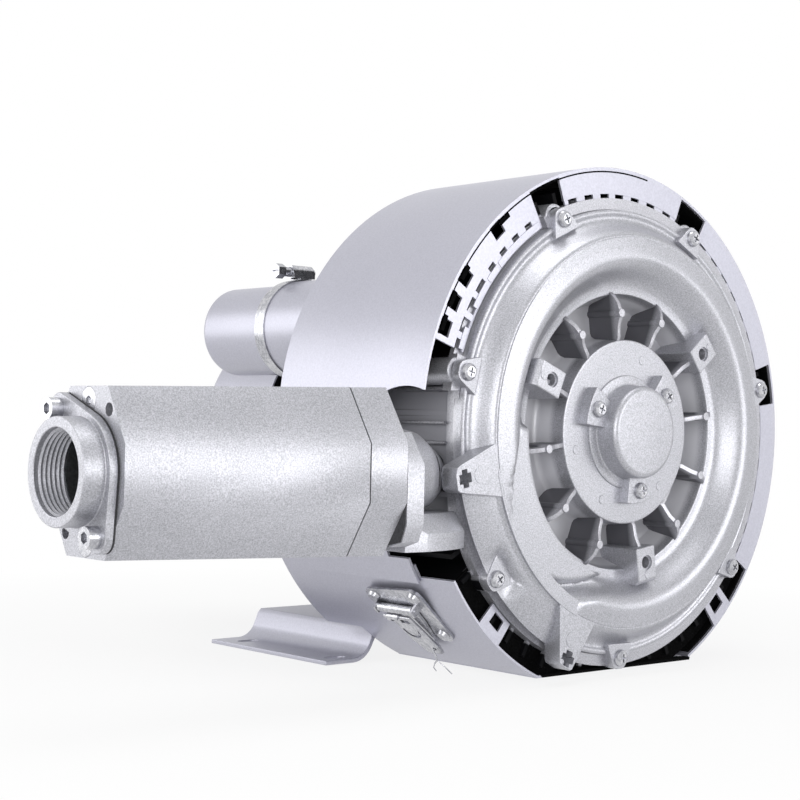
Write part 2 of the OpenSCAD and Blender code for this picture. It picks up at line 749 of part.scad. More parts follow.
module motor_barrel() {
  bore_r = stator_bore_d / 2 + 18;
  color("silver") place() difference() {
    union() {
      turned([
        [bore_r, barrel_front_y], [motor_r + 8, barrel_front_y], [motor_r + 8, barrel_front_y + 6],
        [motor_r, barrel_front_y + 9], [motor_r, motor_end_y], [bore_r, motor_end_y]
      ]);
      for (k = [0 : motor_fin_count - 1]) {
        at_angle(360 / motor_fin_count * (k + 0.5))
          translate([motor_r - 1, barrel_front_y + 8, -1])
            cube([motor_fin_r - motor_r + 1, motor_end_y - barrel_front_y - 16, 2]);
      }
      // foot pedestal
      translate([-34, pedestal_y - 30, -shaft_height + foot_rise + foot_t - foot_t])
        cube([68, 60, shaft_height - foot_rise - motor_r + 6]);
      // pad for the terminal box
      translate([motor_r - 4, pedestal_y - 30, -26]) cube([14, 60, 52]);
    }
    bar(barrel_front_y - 1, motor_end_y - barrel_front_y + 2, bore_r);
    translate([-26, pedestal_y - 31, -shaft_height + foot_rise - 1])
      cube([52, 62, shaft_height - foot_rise - motor_r - 10]);
    for (x = [-30, 30], y = [pedestal_y - 22, pedestal_y + 22]) {
      translate([x, y, -shaft_height + foot_rise - 1]) cylinder(d = 5, h = 16);
    }
  }
}

module stator() {
  bore_r = stator_bore_d / 2;
  color("sienna") place() turned([
    [bore_r, barrel_front_y + 22], [bore_r + 17.7, barrel_front_y + 22],
    [bore_r + 17.7, motor_end_y - 22], [bore_r, motor_end_y - 22]
  ]);
}

module rotor_core() {
  color("darkgray") place() turned([
    [16.02, barrel_front_y + 20], [stator_bore_d / 2 - running_gap, barrel_front_y + 20],
    [stator_bore_d / 2 - running_gap, motor_end_y - 20], [16.02, motor_end_y - 20]
  ]);
}

module end_shield() {
  color("silver") place() turned([
    [fan_bearing_d / 2, fan_bearing_y], [14, fan_bearing_y], [14, fan_bearing_y - 5],
    [44, fan_bearing_y - 5], [44, motor_end_y], [motor_fin_r - 2, motor_end_y],
    [motor_fin_r - 2, motor_end_y + 7], [46, motor_end_y + 8], [28, fan_bearing_y + fan_bearing_w],
    [fan_bearing_d / 2, fan_bearing_y + fan_bearing_w]
  ]);
}

module shield_bolts() {
  color("gainsboro") place() for (a = [45 : 90 : 315]) {
    at_angle(a) translate([50, motor_end_y + 8, 0]) rotate([-90, 0, 0]) cylinder(r = 4, h = 4, $fn = 6);
  }
}

module cooling_fan() {
  fan_y = fan_bearing_y + fan_bearing_w + 8;
  fan_r = 52;
  color("dimgray") place() union() {
    turned([
      [8.02, fan_y], [16, fan_y], [16, fan_y + 10], [fan_r, fan_y + 12], [fan_r, fan_y + 14.5],
      [14, fan_y + 14.5], [14, fan_y + 22], [8.02, fan_y + 22]
    ]);
    for (k = [0 : 8]) {
      at_angle(40 * k) translate([14, fan_y + 13, -1]) cube([fan_r - 15, 12, 2]);
    }
  }
}

// Ring rows of slots in the fan cowl's end.
module cowl_grille() {
  for (row = [0 : 3]) {
    r = 16 + row * 11;
    count = 8 + row * 4;
    for (k = [0 : count - 1]) {
      at_angle(360 / count * k) translate([r, cowl_end_y - 6, -2.6 - row * 0.5])
        cube([7, 10, 5.2 + row]);
    }
  }
}

module fan_cowl() {
  color("lightgray") place() difference() {
    turned([
      [cowl_r - cowl_t, cowl_front_y], [cowl_r, cowl_front_y], [cowl_r, cowl_end_y - 6],
      [cowl_r - 2, cowl_end_y - 1.6], [cowl_r - 6, cowl_end_y], [0, cowl_end_y],
      [0, cowl_end_y - cowl_t], [cowl_r - 6.4, cowl_end_y - cowl_t],
      [cowl_r - 2 - cowl_t, cowl_end_y - 2.6], [cowl_r - cowl_t, cowl_end_y - 6.4]
    ]);
    cowl_grille();
    for (a = [0 : 90 : 270]) {
      at_angle(a + 30) translate([cowl_r - 4, cowl_front_y + 6, 0]) rotate([0, 90, 0])
        cylinder(d = 4.5, h = 8);
    }
  }
}

// Screws that hold the cowl to spacer posts on the end shield.
module cowl_screws() {
  post_r = motor_fin_r - 2;
  color("gainsboro") place() for (a = [0 : 90 : 270]) {
    at_angle(a + 30) {
      translate([post_r - 6, cowl_front_y + 6, 0]) rotate([0, 90, 0])
        cylinder(d = 4, h = cowl_r - post_r + 6);
      translate([cowl_r + small_gap, cowl_front_y + 6, 0]) rotate([0, 90, 0])
        cylinder(r1 = 3.8, r2 = 2.6, h = 2.2, $fn = 32);
      translate([post_r - 10, motor_end_y + 8, -4]) cube([9.5, cowl_front_y + 2 - motor_end_y, 8]);
    }
  }
}

// Terminal box on the side of the motor away from the silencer.
box_x = motor_r + 10;
box_w = 24;
box_l = 76;
box_h = 72;
module terminal_box() {
  color("silver") place() difference() {
    translate([box_x, pedestal_y - box_l / 2, -box_h / 2]) cube([box_w, box_l, box_h]);
    translate([box_x + 3, pedestal_y - box_l / 2 + 3, -box_h / 2 + 3])
      cube([box_w, box_l - 6, box_h - 6]);
    translate([box_x + box_w / 2, pedestal_y - 16, -box_h / 2 - 1]) cylinder(d = 16.2, h = 5);
  }
}

module terminal_lid() {
  lid_x = box_x + box_w;
  color("gainsboro") place() difference() {
    union() {
      translate([lid_x, pedestal_y - box_l / 2, -box_h / 2]) cube([3, box_l, box_h]);
      hull() {
        translate([lid_x + 3, pedestal_y - box_l / 2 + 4, -box_h / 2 + 4])
          cube([0.1, box_l - 8, box_h - 8]);
        translate([lid_x + 7, pedestal_y - box_l / 2 + 9, -box_h / 2 + 9])
          cube([0.1, box_l - 18, box_h - 18]);
      }
    }
    for (y = [-box_l / 2 + 5, box_l / 2 - 5], z = [-box_h / 2 + 5, box_h / 2 - 5]) {
      translate([lid_x - 1, pedestal_y + y, z]) rotate([0, 90, 0]) cylinder(d = 4.5, h = 12);
    }
  }
}

module lid_screws() {
  color("gainsboro") place()
  for (y = [-box_l / 2 + 5, box_l / 2 - 5], z = [-box_h / 2 + 5, box_h / 2 - 5]) {
    translate([box_x + box_w + 7.4, pedestal_y + y, z]) rotate([0, 0, 180])
      socket_screw(7.3, 3.4, 2.6, 2);
  }
}

module entry_plug() {
  color("dimgray") place() translate([box_x + box_w / 2, pedestal_y - 16, -box_h / 2]) union() {
    cylinder(d = 16, h = 5);
    translate([0, 0, -3]) cylinder(d = 22, h = 2.9);
    translate([0, 0, -7]) cylinder(d = 17, h = 4.1, $fn = 6);
  }
}

// Outline of the silencer's octagon, grown by g on every side.
function octagon(g) = [
  for (s = [[1, 1], [-1, 1], [-1, -1], [1, -1]])
    let (flip = s[0] * s[1] > 0,
         top = [s[0] * (octagon_top + g * 0.4), s[1] * (octagon_half_h + g)],
         side = [s[0] * (octagon_half_w + g), s[1] * (octagon_side + g * 0.4)])
    each (flip ? [side, top] : [top, side])
];

// A thin octagonal plate square to X.
module octagon_plate(x, g, t = 0.02) {
  translate([-x, silencer_y, -silencer_drop]) rotate([90, 0, 90]) linear_extrude(t) polygon(octagon(g));
}

// An octagonal block whose walls spread evenly between two places.
module octagon_block(x_out, x_in, g_out, g_in) {
  hull() {
    octagon_plate(x_out, g_out);
    octagon_plate(x_in + 0.02, g_in);
  }
}

// A round hole or bar along X on the silencer's axis.
module silencer_bar(x, length, r) {
  translate([-x, silencer_y, -silencer_drop]) rotate([0, 90, 0]) cylinder(r = r, h = length);
}

// The four corner places of the end plate, two of them used by the flange.
module bolt_places(signs) {
  for (s = signs) {
    translate([0, silencer_y + s[0] * bolt_dy, -silencer_drop + s[1] * bolt_dz]) children();
  }
}
all_corners = [[1, 1], [-1, -1], [-1, 1], [1, -1]];

module silencer_body() {
  color("silver") place() difference() {
    octagon_block(plate_x, seam_x + seam_gap / 2, 0, draft_at_seam);
    octagon_block(plate_x - plate_t, seam_x - 1, -silencer_t, draft_at_seam - silencer_t);
    silencer_bar(plate_x + 1, plate_t + 2, inner_tube_r + 0.2);
    bolt_places(all_corners) translate([-plate_x - 1, 0, 0]) rotate([0, 90, 0])
      cylinder(d = 6.1, h = plate_t + 0.5);
    for (s = [-1, 1]) {
      translate([-plate_x, silencer_y, -silencer_drop + s * tie_screw_dz]) rotate([0, 90, 0]) {
        translate([0, 0, -1]) cylinder(d = 6.6, h = plate_t + 2);
        translate([0, 0, -0.01]) cylinder(r1 = 6.2, r2 = 3.3, h = 3.3);
      }
    }
  }
}

module silencer_end() {
  color("silver") place() difference() {
    octagon_block(seam_x - seam_gap / 2, silencer_inner_x, draft_at_seam, draft_growth);
    octagon_block(seam_x + 1, silencer_inner_x + 6, draft_at_seam - silencer_t, draft_growth - silencer_t);
    silencer_bar(silencer_inner_x + 8, 10, neck_bore_r);
    for (s = [-1, 1]) {
      translate([-seam_x, silencer_y, -silencer_drop + s * tie_screw_dz]) rotate([0, 90, 0])
        cylinder(d = 6, h = 20);
    }
  }
}

module silencer_gasket() {
  color("dimgray") place() difference() {
    octagon_block(seam_x + seam_gap / 2, seam_x - seam_gap / 2, draft_at_seam - 0.5, draft_at_seam - 0.5);
    octagon_block(seam_x + 1, seam_x - 1, draft_at_seam - silencer_t, draft_at_seam - silencer_t);
  }
}

module silencer_tube() {
  tube_x = plate_x - 0.5;
  tube_l = plate_x - silencer_inner_x - 7;
  color("lightgray") place() difference() {
    silencer_bar(tube_x, tube_l, inner_tube_r);
    silencer_bar(tube_x + 1, tube_l + 2, inner_tube_r - 1);
    for (row = [0 : 5], k = [0 : 5]) {
      translate([-tube_x + 24 + row * 18, silencer_y, -silencer_drop]) rotate([60 * k + 22, 0, 0])
        translate([0, 0, inner_tube_r - 4]) cylinder(d = 6, h = 6);
    }
  }
}

module absorber() {
  color("darkkhaki") place() difference() {
    octagon_block(plate_x - plate_t - 0.5, seam_x + 2, -silencer_t - 0.5, draft_at_seam - silencer_t - 1);
    silencer_bar(plate_x, plate_x - silencer_inner_x, inner_tube_r + 0.5);
    for (s = [-1, 1]) {
      translate([-plate_x, silencer_y, -silencer_drop + s * tie_screw_dz]) rotate([0, 90, 0])
        cylinder(d = 8, h = plate_x - seam_x);
    }
  }
}

// Outline of the nozzle's two-bolt flange, as a plate square to X.
module flange_outline(t) {
  ear_r = 7.4;
  rotate([90, 0, 90]) linear_extrude(t) hull() {
    circle(r = nozzle_r + 3, $fn = 48);
    for (s = [-1, 1]) {
      translate([s * bolt_dy, s * bolt_dz]) circle(r = ear_r, $fn = 24);
    }
  }
}

module port_flange() {
  color("silver") place() difference() {
    union() {
      translate([-plate_x - nozzle_flange_t, silencer_y, -silencer_drop])
        flange_outline(nozzle_flange_t - 0.8);
      silencer_bar(nozzle_face_x, nozzle_out + 1, nozzle_r);
    }
    silencer_bar(nozzle_face_x + 1, nozzle_out + nozzle_flange_t + 2, nozzle_bore_d / 2);
    bolt_places([[1, 1], [-1, -1]]) translate([-plate_x - nozzle_flange_t - 1, 0, 0])
      rotate([0, 90, 0]) cylinder(d = 6.6, h = nozzle_flange_t + 2);
  }
}

module port_gasket() {
  color("dimgray") place() difference() {
    translate([-plate_x - 0.8, silencer_y, -silencer_drop]) flange_outline(0.8);
    silencer_bar(plate_x + 1, 3, inner_tube_r + 0.5);
    bolt_places([[1, 1], [-1, -1]]) translate([-plate_x - 2, 0, 0]) rotate([0, 90, 0])
      cylinder(d = 6.6, h = 4);
  }
}

module port_screws() {
  color("gainsboro") place() bolt_places([[1, 1], [-1, -1]])
    translate([-plate_x - nozzle_flange_t, 0, 0]) socket_screw(nozzle_flange_t + 5, 5, 6, 2.5);
}

module tie_screws() {
  color("gainsboro") place() for (s = [-1, 1]) {
    translate([-plate_x, silencer_y, -silencer_drop + s * tie_screw_dz]) rotate([0, 90, 0]) difference() {
      union() {
        cylinder(r1 = 6, r2 = 3, h = 3.2);
        translate([0, 0, 3]) cylinder(r = 3, h = plate_x - seam_x + 12);
      }
      translate([0, 0, -1]) cylinder(r = 2.3, h = 3, $fn = 6);
    }
  }
}

// Outline of the neck's flange in depth and height, with cut corners.
function neck_flange(g) = [
  [-22 - g, -2 + g], [-28.5 - g, -12], [-32.4 - g, -18], [-32.4 - g, -47], [-29 - g, -56],
  [-20 - g, -59 - g], [28, -59 - g], [34 + g, -50], [34 + g, -12], [26, -2 + g]
];

module neck_flange_plate(x, t, g) {
  translate([-x, 0, 0]) rotate([90, 0, 90]) linear_extrude(t) polygon(neck_flange(g));
}

// A round stretch of the neck along X, at a depth and a height.
module neck_round(x, t, y, z, r) {
  translate([-x, y, z]) rotate([0, 90, 0]) cylinder(r = r, h = t, $fn = 64);
}

// Flange, pipe bend and volute foot of the neck, with its bent duct.
module intake_neck() {
  face_x = silencer_inner_x - 0.8;
  bend_x = face_x - 32;
  bend_z = -silencer_drop - 1;
  root_z = bend_z - 2;
  root_x = neck_root_x + 0.3;
  color("silver") place() difference() {
    union() {
      neck_flange_plate(face_x, neck_t, 0);
      hull() {
        neck_round(face_x - neck_t + 1, 1, 0, -silencer_drop, neck_r);
        neck_round(bend_x, 1, 6, bend_z, neck_r - 1.6);
      }
      hull() {
        neck_round(bend_x, 1, 6, bend_z, neck_r - 1.6);
        neck_round(root_x + 14, 1, neck_y - 8, root_z, neck_r - 5.5);
        neck_round(root_x + 1, 1, neck_y, root_z, neck_r - 9);
      }
      // volute foot: wide below, drawn in towards its top
      hull() {
        translate([0, 0, -62]) linear_extrude(9) polygon([
          [-face_x + neck_t - 1, -20], [-165, -21], [-150, -19], [-138, -14.5], [-root_x, -8],
          [-root_x, 38], [-face_x + neck_t - 1, 30]
        ]);
        translate([0, 0, -45]) linear_extrude(1.5) polygon([
          [-face_x + neck_t - 1, -14], [-165, -14], [-150, -11], [-138, -6], [-root_x, 0],
          [-root_x, 30], [-face_x + neck_t - 1, 24]
        ]);
      }
    }
    neck_round(face_x + 1, 18, silencer_y, -silencer_drop, neck_bore_r);
    neck_round(face_x - 16, 32, 6, bend_z, 13);
    neck_round(root_x + 15, 17, neck_y - 4, root_z, 9);
  }
}

module neck_gasket() {
  color("dimgray") place() difference() {
    neck_flange_plate(silencer_inner_x, 0.8, -1);
    silencer_bar(silencer_inner_x + 1, 3, neck_bore_r);
  }
}

// Radius of the pipe's drawn-in end inside the sleeve
spigot_r = pipe_r - 0.6;

// A ring along Y round the rear pipe's axis, by its profile.
module pipe_turned(profile) {
  translate([-pipe_x, 0, pipe_z]) turned(profile);
}

module pipe_sleeve() {
  color("silver") place() pipe_turned([
    [sleeve_r - 2.8, casing_back_y + 1], [sleeve_r, casing_back_y + 1],
    [sleeve_r, sleeve_end_y], [spigot_r + small_gap, sleeve_end_y],
    [spigot_r + small_gap, sleeve_end_y - 40], [sleeve_r - 2.8, sleeve_end_y - 40]
  ]);
}

module rear_pipe() {
  roll = 4;
  inner = pipe_r - pipe_t;
  color("silver") place() pipe_turned(concat(
    [[inner, sleeve_end_y - 38], [spigot_r, sleeve_end_y - 38], [spigot_r, sleeve_end_y + 0.5],
     [pipe_r, sleeve_end_y + 1.5]],
    arc([pipe_r - roll, pipe_end_y - roll], roll, 0, 76, 5),
    [[pipe_r - roll, pipe_end_y - 0.4], [pipe_r - roll, pipe_end_y - pipe_t], [inner, pipe_end_y - roll]]
  ));
}

clamp_y = sleeve_end_y - band_w;
worm_out = 4.4;
module clamp_band() {
  color("gainsboro") place() pipe_turned([
    [sleeve_r + small_gap, clamp_y], [sleeve_r + band_t, clamp_y],
    [sleeve_r + band_t, sleeve_end_y], [sleeve_r + small_gap, sleeve_end_y]
  ]);
}

// Places the worm housing on top of the band, with the screw along X.
module on_band() {
  translate([-pipe_x, clamp_y + band_w / 2, pipe_z + sleeve_r + band_t + small_gap]) children();
}

module clamp_housing() {
  housing_l = 16;
  color("gainsboro") place() on_band() difference() {
    union() {
      translate([-housing_l / 2, 0, worm_out + 0.2]) rotate([0, 90, 0]) cylinder(r = 4.4, h = housing_l);
      translate([-housing_l / 2, -band_w / 2 - 0.8, 0.8]) cube([housing_l, band_w + 1.6, 3]);
      translate([-3, -band_w / 2 - 0.8, 0]) cube([6, band_w + 1.6, 1]);
    }
    translate([-housing_l / 2 - 1, 0, worm_out + 0.2]) rotate([0, 90, 0])
      cylinder(r = 3.2, h = housing_l + 2);
  }
}

module clamp_screw() {
  color("gainsboro") place() on_band() translate([0, 0, worm_out + 0.2]) rotate([0, 90, 0]) {
    translate([0, 0, -14]) cylinder(r = 3.05, h = 24);
    difference() {
      translate([0, 0, -19]) cylinder(r = 4.6, h = 5.5, $fn = 6);
      translate([-0.5, -3, -19.5]) cube([1, 6, 2]);
    }
  }
}

// Angles of the shroud
wrap_from = -62.8;
wrap_to = 213.5;
notch_from = 173.5;
notch_to = 207.5;
notch_depth = 43;
step_depth = 27;
neck_window_r = 46;
module tab_windows() {
  for (k = [0 : 7]) {
    a = tab_turns[3] - 18 + k * 5.2;
    slab(-1, sheet_t + 2) sector(131, 136.6, a, a + (k < 4 ? 2.4 : 3.6), 3);
  }
  for (k = [0 : 3]) {
    a = tab_turns[3] - 10 + [0, 14, 20, 26][k];
    slab(-1, sheet_t + 2) sector(142.4, shroud_r - sheet_t - 0.2, a, a + 3.6, 3);
  }
}

module upper_shroud() {
  inner = shroud_r - sheet_t;
  color("lightgray") place() difference() {
    union() {
      turned([[inner, 0], [shroud_r, 0], [shroud_r, shroud_depth], [inner, shroud_depth]],
             wrap_from, wrap_to);
      for (k = [0 : 3]) {
        slab(0, sheet_t) sector(k == 3 ? wide_tab_inner_r : tab_inner_r, inner + 0.2,
                                tab_turns[k] - tab_half_angle, tab_turns[k] + tab_half_angle, 16);
      }
      slab(0, sheet_t) sector(ring_r + 0.4, inner + 0.2, -51.5, -43.9, 6);
    }
    slab(-1, sheet_t + 2) sector(ring_r + 2.4, inner - 5, -49.7, -45.7, 6);
    tab_windows();
    foot_relief();
    // notch that lets the neck through, with rounded corners
    turned([[inner - 5, -1], [shroud_r + 5, -1], [shroud_r + 5, notch_depth], [inner - 5, notch_depth]],
           notch_from, notch_to);
    turned([[inner - 5, -1], [shroud_r + 5, -1], [shroud_r + 5, step_depth], [inner - 5, step_depth]],
           notch_to - 1, wrap_to + 2);
    translate([-shroud_r - 20, neck_y - 8, -silencer_drop - 2]) rotate([0, 90, 0])
      cylinder(r = neck_window_r, h = 60);
  }
}

tray_arc_from = 209.5;
tray_front_from = 212.5;
tray_flat_half = sqrt(pow(tray_r, 2) - pow(tray_drop, 2));
flat_end_x = 70.4;
module lower_tray() {
  inner = tray_r - sheet_t;
  arc_to = 360 - acos(-tray_flat_half / tray_r);
  ladder = lug_turn + lug_pitch * 4 + 6;
  color("lightgray") place() difference() {
    union() {
      turned([[inner, 0], [tray_r, 0], [tray_r, tray_depth], [inner, tray_depth]],
             tray_arc_from, arc_to);
      translate([-tray_flat_half - 0.8, 0, -tray_drop])
        cube([tray_flat_half + 0.8 + flat_end_x, foot_front_y - 2, sheet_t]);
      slab(0, sheet_t) sector(ring_r + 0.4, inner + 0.4, ladder, ladder + 7.6, 4);
    }
    slab(-1, sheet_t + 2) sector(ring_r + 2.4, inner - 5, ladder + 2, ladder + 5.6, 4);
    turned([[inner - 5, -1], [tray_r + 5, -1], [tray_r + 5, step_depth], [inner - 5, step_depth]],
           tray_arc_from - 1, tray_front_from);
    // clear room for the foot behind the flat bottom
    translate([-92, foot_front_y - 2, -tray_r - 5]) cube([120, 60, 60]);
  }
}

// Corner left out of the shroud and its felt where the foot comes up.
module foot_relief() {
  translate([60, foot_front_y - 2, -tray_r - 5]) cube([60, 20, tray_r - 105]);
}

module shroud_felt() {
  outer = shroud_r - sheet_t - small_gap;
  color("black") place() difference() {
    turned([
      [outer - felt_t, sheet_t + small_gap], [outer, sheet_t + small_gap],
      [outer, shroud_depth - 1], [outer - felt_t, shroud_depth - 1]
    ], wrap_from + 1, notch_from - 1);
    foot_relief();
    translate([-shroud_r - 20, neck_y - 8, -silencer_drop - 2]) rotate([0, 90, 0])
      cylinder(r = neck_window_r + 1, h = 60);
  }
}

// Half of the foot's bent profile, from the toe to the deck.
function foot_profile() = concat(
  [[foot_half_w, 0], [foot_half_w, foot_t], [foot_toe, foot_t]],
  arc([foot_toe, foot_t + 13], 13, 270, 205, 6),
  [[foot_deck_half + 1, foot_rise - 2.4], [foot_deck_half - 1.4, foot_rise], [0, foot_rise],
   [0, foot_rise - foot_t], [foot_deck_half - 2.6, foot_rise - foot_t]],
  arc([foot_toe, foot_t + 13], 13 + foot_t, 207, 270, 6)
);

module foot_bracket() {
  color("lightgray") place() difference() {
    translate([0, foot_front_y + foot_l, floor_z]) rotate([90, 0, 0]) linear_extrude(foot_l) union() {
      polygon(foot_profile());
      mirror([1, 0]) polygon(foot_profile());
    }
    for (s = [-1, 1], t = [-1, 1]) {
      translate([s * slot_x, foot_setback + t * slot_pitch / 2, floor_z - 1]) {
        translate([-(slot_l - slot_w) / 2, -slot_w / 2, 0]) cube([slot_l - slot_w, slot_w, foot_t + 2]);
        for (e = [-1, 1]) {
          translate([e * (slot_l - slot_w) / 2, 0, 0]) cylinder(d = slot_w, h = foot_t + 2);
        }
      }
    }
    for (x = [-30, 30], y = [pedestal_y - 22, pedestal_y + 22]) {
      translate([x, y, foot_top_z - 10]) cylinder(d = 5.5, h = 12);
    }
  }
}

module foot_screws() {
  color("gainsboro") place() for (x = [-30, 30], y = [pedestal_y - 22, pedestal_y + 22]) {
    translate([x, y, foot_top_z - foot_t]) {
      translate([0, 0, -3.5]) cylinder(r = 4.6, h = 3.5, $fn = 6);
      cylinder(d = 4.8, h = foot_t + 12);
    }
  }
}

// Local frame of the latch: X points out of the tray, Y along the shaft and
// Z down along the tray.
module on_tray() {
  at_angle(latch_turn) translate([latch_r, latch_y, 0]) children();
}
base_top_z = -19;
base_screw_places = [[16, -21], [-19, -23.5], [-20, 7]];

module latch_base() {
  color("gainsboro") place() on_tray() difference() {
    union() {
      translate([0.05, 0, 0]) rotate([90, 0, 90]) linear_extrude(latch_t) hull() {
        for (p = base_screw_places) {
          translate(p) circle(r = 6, $fn = 24);
        }
      }
      // two ears that hold the hinge pin
      for (y = [-16.2, 14.4]) {
        translate([latch_t - 0.2, y, -17.2]) cube([hinge_out + 1.4, 1.8, 4.6]);
      }
    }
    for (p = base_screw_places) {
      translate([-1, p[0], p[1]]) rotate([0, 90, 0]) cylinder(d = 3.6, h = 4);
    }
    translate([hinge_out, -20, hinge_z]) rotate([-90, 0, 0]) cylinder(d = latch_pin_d, h = 40);
  }
}

module latch_screws() {
  color("gainsboro") place() on_tray() for (p = base_screw_places) {
    translate([latch_t + 0.1, p[0], p[1]]) rotate([0, 90, 0]) cylinder(r1 = 4, r2 = 3, h = 1.9, $fn = 32);
    translate([-0.1, p[0], p[1]]) rotate([0, 90, 0]) cylinder(d = 3.4, h = latch_t + 0.4);
  }
}

module latch_pin() {
  color("gainsboro") place() on_tray()
    translate([hinge_out, -17, hinge_z]) rotate([-90, 0, 0]) cylinder(d = latch_pin_d - 0.02, h = 34);
}

module latch_lever() {
  knuckle_r = latch_pin_d / 2 + 1;
  color("gainsboro") place() on_tray() difference() {
    union() {
      translate([hinge_out, -lever_w / 2, hinge_z]) rotate([-90, 0, 0]) cylinder(r = knuckle_r, h = lever_w);
      translate([lever_lift, -lever_w / 2, hinge_z]) cube([latch_t, lever_w, 12]);
      translate([lever_lift, 0, 0]) rotate([90, 0, 90]) linear_extrude(latch_t) polygon([
        [lever_w / 2, -3], [lever_w / 2 - 4, lever_l - 22], [4, lever_l - 12], [-8, lever_l - 12],
        [-lever_w / 2, -3]
      ]);
      // rolled eye that holds the bail
      translate([bail_x, 1, bail_z]) rotate([-90, 0, 0]) cylinder(r = bail_d / 2 + 1.3, h = 9);
      translate([lever_lift + latch_t - 0.5, 1, bail_z - 2]) cube([1.5, 9, 4]);
    }
    translate([bail_x, -20, bail_z]) rotate([-90, 0, 0]) cylinder(d = bail_d + 0.2, h = 40);
    translate([hinge_out, -30, hinge_z]) rotate([-90, 0, 0]) cylinder(d = latch_pin_d + 0.1, h = 60);
    // window and hooked slot
    translate([0, -2, -9]) cube([8, 9, 8]);
    translate([0, 4, 4.6]) rotate([0, 90, 0]) difference() {
      cylinder(r = 7, h = 8);
      translate([0, 0, -1]) cylinder(r = 5.2, h = 10);
      translate([0, -10, -1]) cube([10, 20, 10]);
    }
    // hole for the locking wire
    translate([0, -4, lever_l - 16]) rotate([0, 90, 0]) cylinder(d = 2.6, h = 8);
  }
}

module latch_bail() {
  color("gainsboro") place() on_tray() {
    translate([bail_x, -6, bail_z]) rotate([-90, 0, 0]) cylinder(d = bail_d, h = 20);
    translate([bail_x, -6, bail_z]) sphere(d = bail_d * 1.04);
    translate([bail_x, -6, bail_z]) rotate([14, 0, 0]) cylinder(d = bail_d, h = 24);
  }
}

// A loop of thin wire through the lever's hole, with two twisted tails.
wire_d = 1;
wire_points = [[1.9, -4, 20], [5, -4, 20.4], [6, -5, 23], [6.2, -3, 27], [6.4, 1, 30]];
module locking_wire() {
  color("gainsboro") place() on_tray() {
    for (i = [0 : len(wire_points) - 2]) {
      p = wire_points[i];
      q = wire_points[i + 1];
      d = q - p;
      length = norm(d);
      translate(p) rotate([0, acos(d[2] / length), atan2(d[1], d[0])]) cylinder(d = wire_d, h = length, $fn = 16);
      translate(q) sphere(d = wire_d * 1.08, $fn = 16);
    }
  }
}

front_cover();
cover_screws();
bearing_cap();
cap_screws();
centre_casing();
rear_casing();
casing_seal();
impeller_front();
impeller_rear();
shaft();
front_bearing();
drive_bearing();
fan_bearing();
shaft_seal();
motor_barrel();
stator();
rotor_core();
end_shield();
shield_bolts();
cooling_fan();
fan_cowl();
cowl_screws();
terminal_box();
terminal_lid();
lid_screws();
entry_plug();
silencer_body();
silencer_end();
silencer_gasket();
silencer_tube();
absorber();
port_flange();
port_gasket();
port_screws();
tie_screws();
intake_neck();
neck_gasket();
pipe_sleeve();
rear_pipe();
clamp_band();
clamp_housing();
clamp_screw();
upper_shroud();
lower_tray();
shroud_felt();
foot_bracket();
foot_screws();
latch_base();
latch_screws();
latch_lever();
latch_pin();
latch_bail();
locking_wire();
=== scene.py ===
import json
import math
import bpy
from mathutils import Matrix, Vector


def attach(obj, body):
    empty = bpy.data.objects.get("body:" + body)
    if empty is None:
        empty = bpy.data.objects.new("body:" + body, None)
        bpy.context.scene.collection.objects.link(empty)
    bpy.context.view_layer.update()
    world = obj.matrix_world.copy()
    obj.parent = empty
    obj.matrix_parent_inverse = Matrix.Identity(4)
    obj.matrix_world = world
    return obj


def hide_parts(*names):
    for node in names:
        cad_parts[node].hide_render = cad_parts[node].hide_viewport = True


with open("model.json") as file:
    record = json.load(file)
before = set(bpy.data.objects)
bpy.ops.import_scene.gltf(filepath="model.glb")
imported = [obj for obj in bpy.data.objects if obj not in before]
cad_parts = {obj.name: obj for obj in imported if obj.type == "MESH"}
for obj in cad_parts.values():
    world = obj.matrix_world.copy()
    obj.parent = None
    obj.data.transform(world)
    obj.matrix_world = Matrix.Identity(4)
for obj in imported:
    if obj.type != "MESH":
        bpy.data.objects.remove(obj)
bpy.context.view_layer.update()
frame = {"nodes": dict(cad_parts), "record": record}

# Lengths are written in millimetres and turned to metres by MM. The machine's
# own axes have the shaft along Y through zero, and Y = 0 at the shroud's front
# plane. The row's floor lies 140 mm below the shaft.
MM = 0.001
SHAFT = Vector((0.0, -0.1715, 0.140))
# Points closer than this, in metres, are one
MERGE = 0.00001

# Angles in degrees round the shaft, from +X against the clock as seen from the
# front: seven lugs, twelve ribs, three bosses, the two arms at the
# interrupter's ends, and the lug that stands in its scoop
LUGS = [12.3 + 360 / 7 * k for k in range(7)]
RIBS = [8.5 + 30 * k for k in range(12)]
BOSSES = RIBS[1::4]
FIRST_ARM = 191.0
SECOND_ARM = 245.6
SCOOP_LUG = 218.0


def spot(x, y, z):
    """A point given on the machine's axes in millimetres, in the row's metres."""
    return Vector((x, y, z)) * MM + SHAFT


def hex_colour(code):
    """The linear colour of an sRGB hex value."""
    parts = [int(code[i:i + 2], 16) / 255 for i in (1, 3, 5)]
    return tuple(c / 12.92 if c <= 0.04045 else ((c + 0.055) / 1.055) ** 2.4 for c in parts) + (1.0,)


# Camera: a long lens almost level with the shaft, 41 degrees to its left
CAMERA_SPOT = (-728.6, -639.2, 3.0)
CAMERA_ANGLES = (-41.3076, -0.7579, 1.1861)
SENSOR_WIDTH = 36.0
FOCAL_LENGTH = 74.82

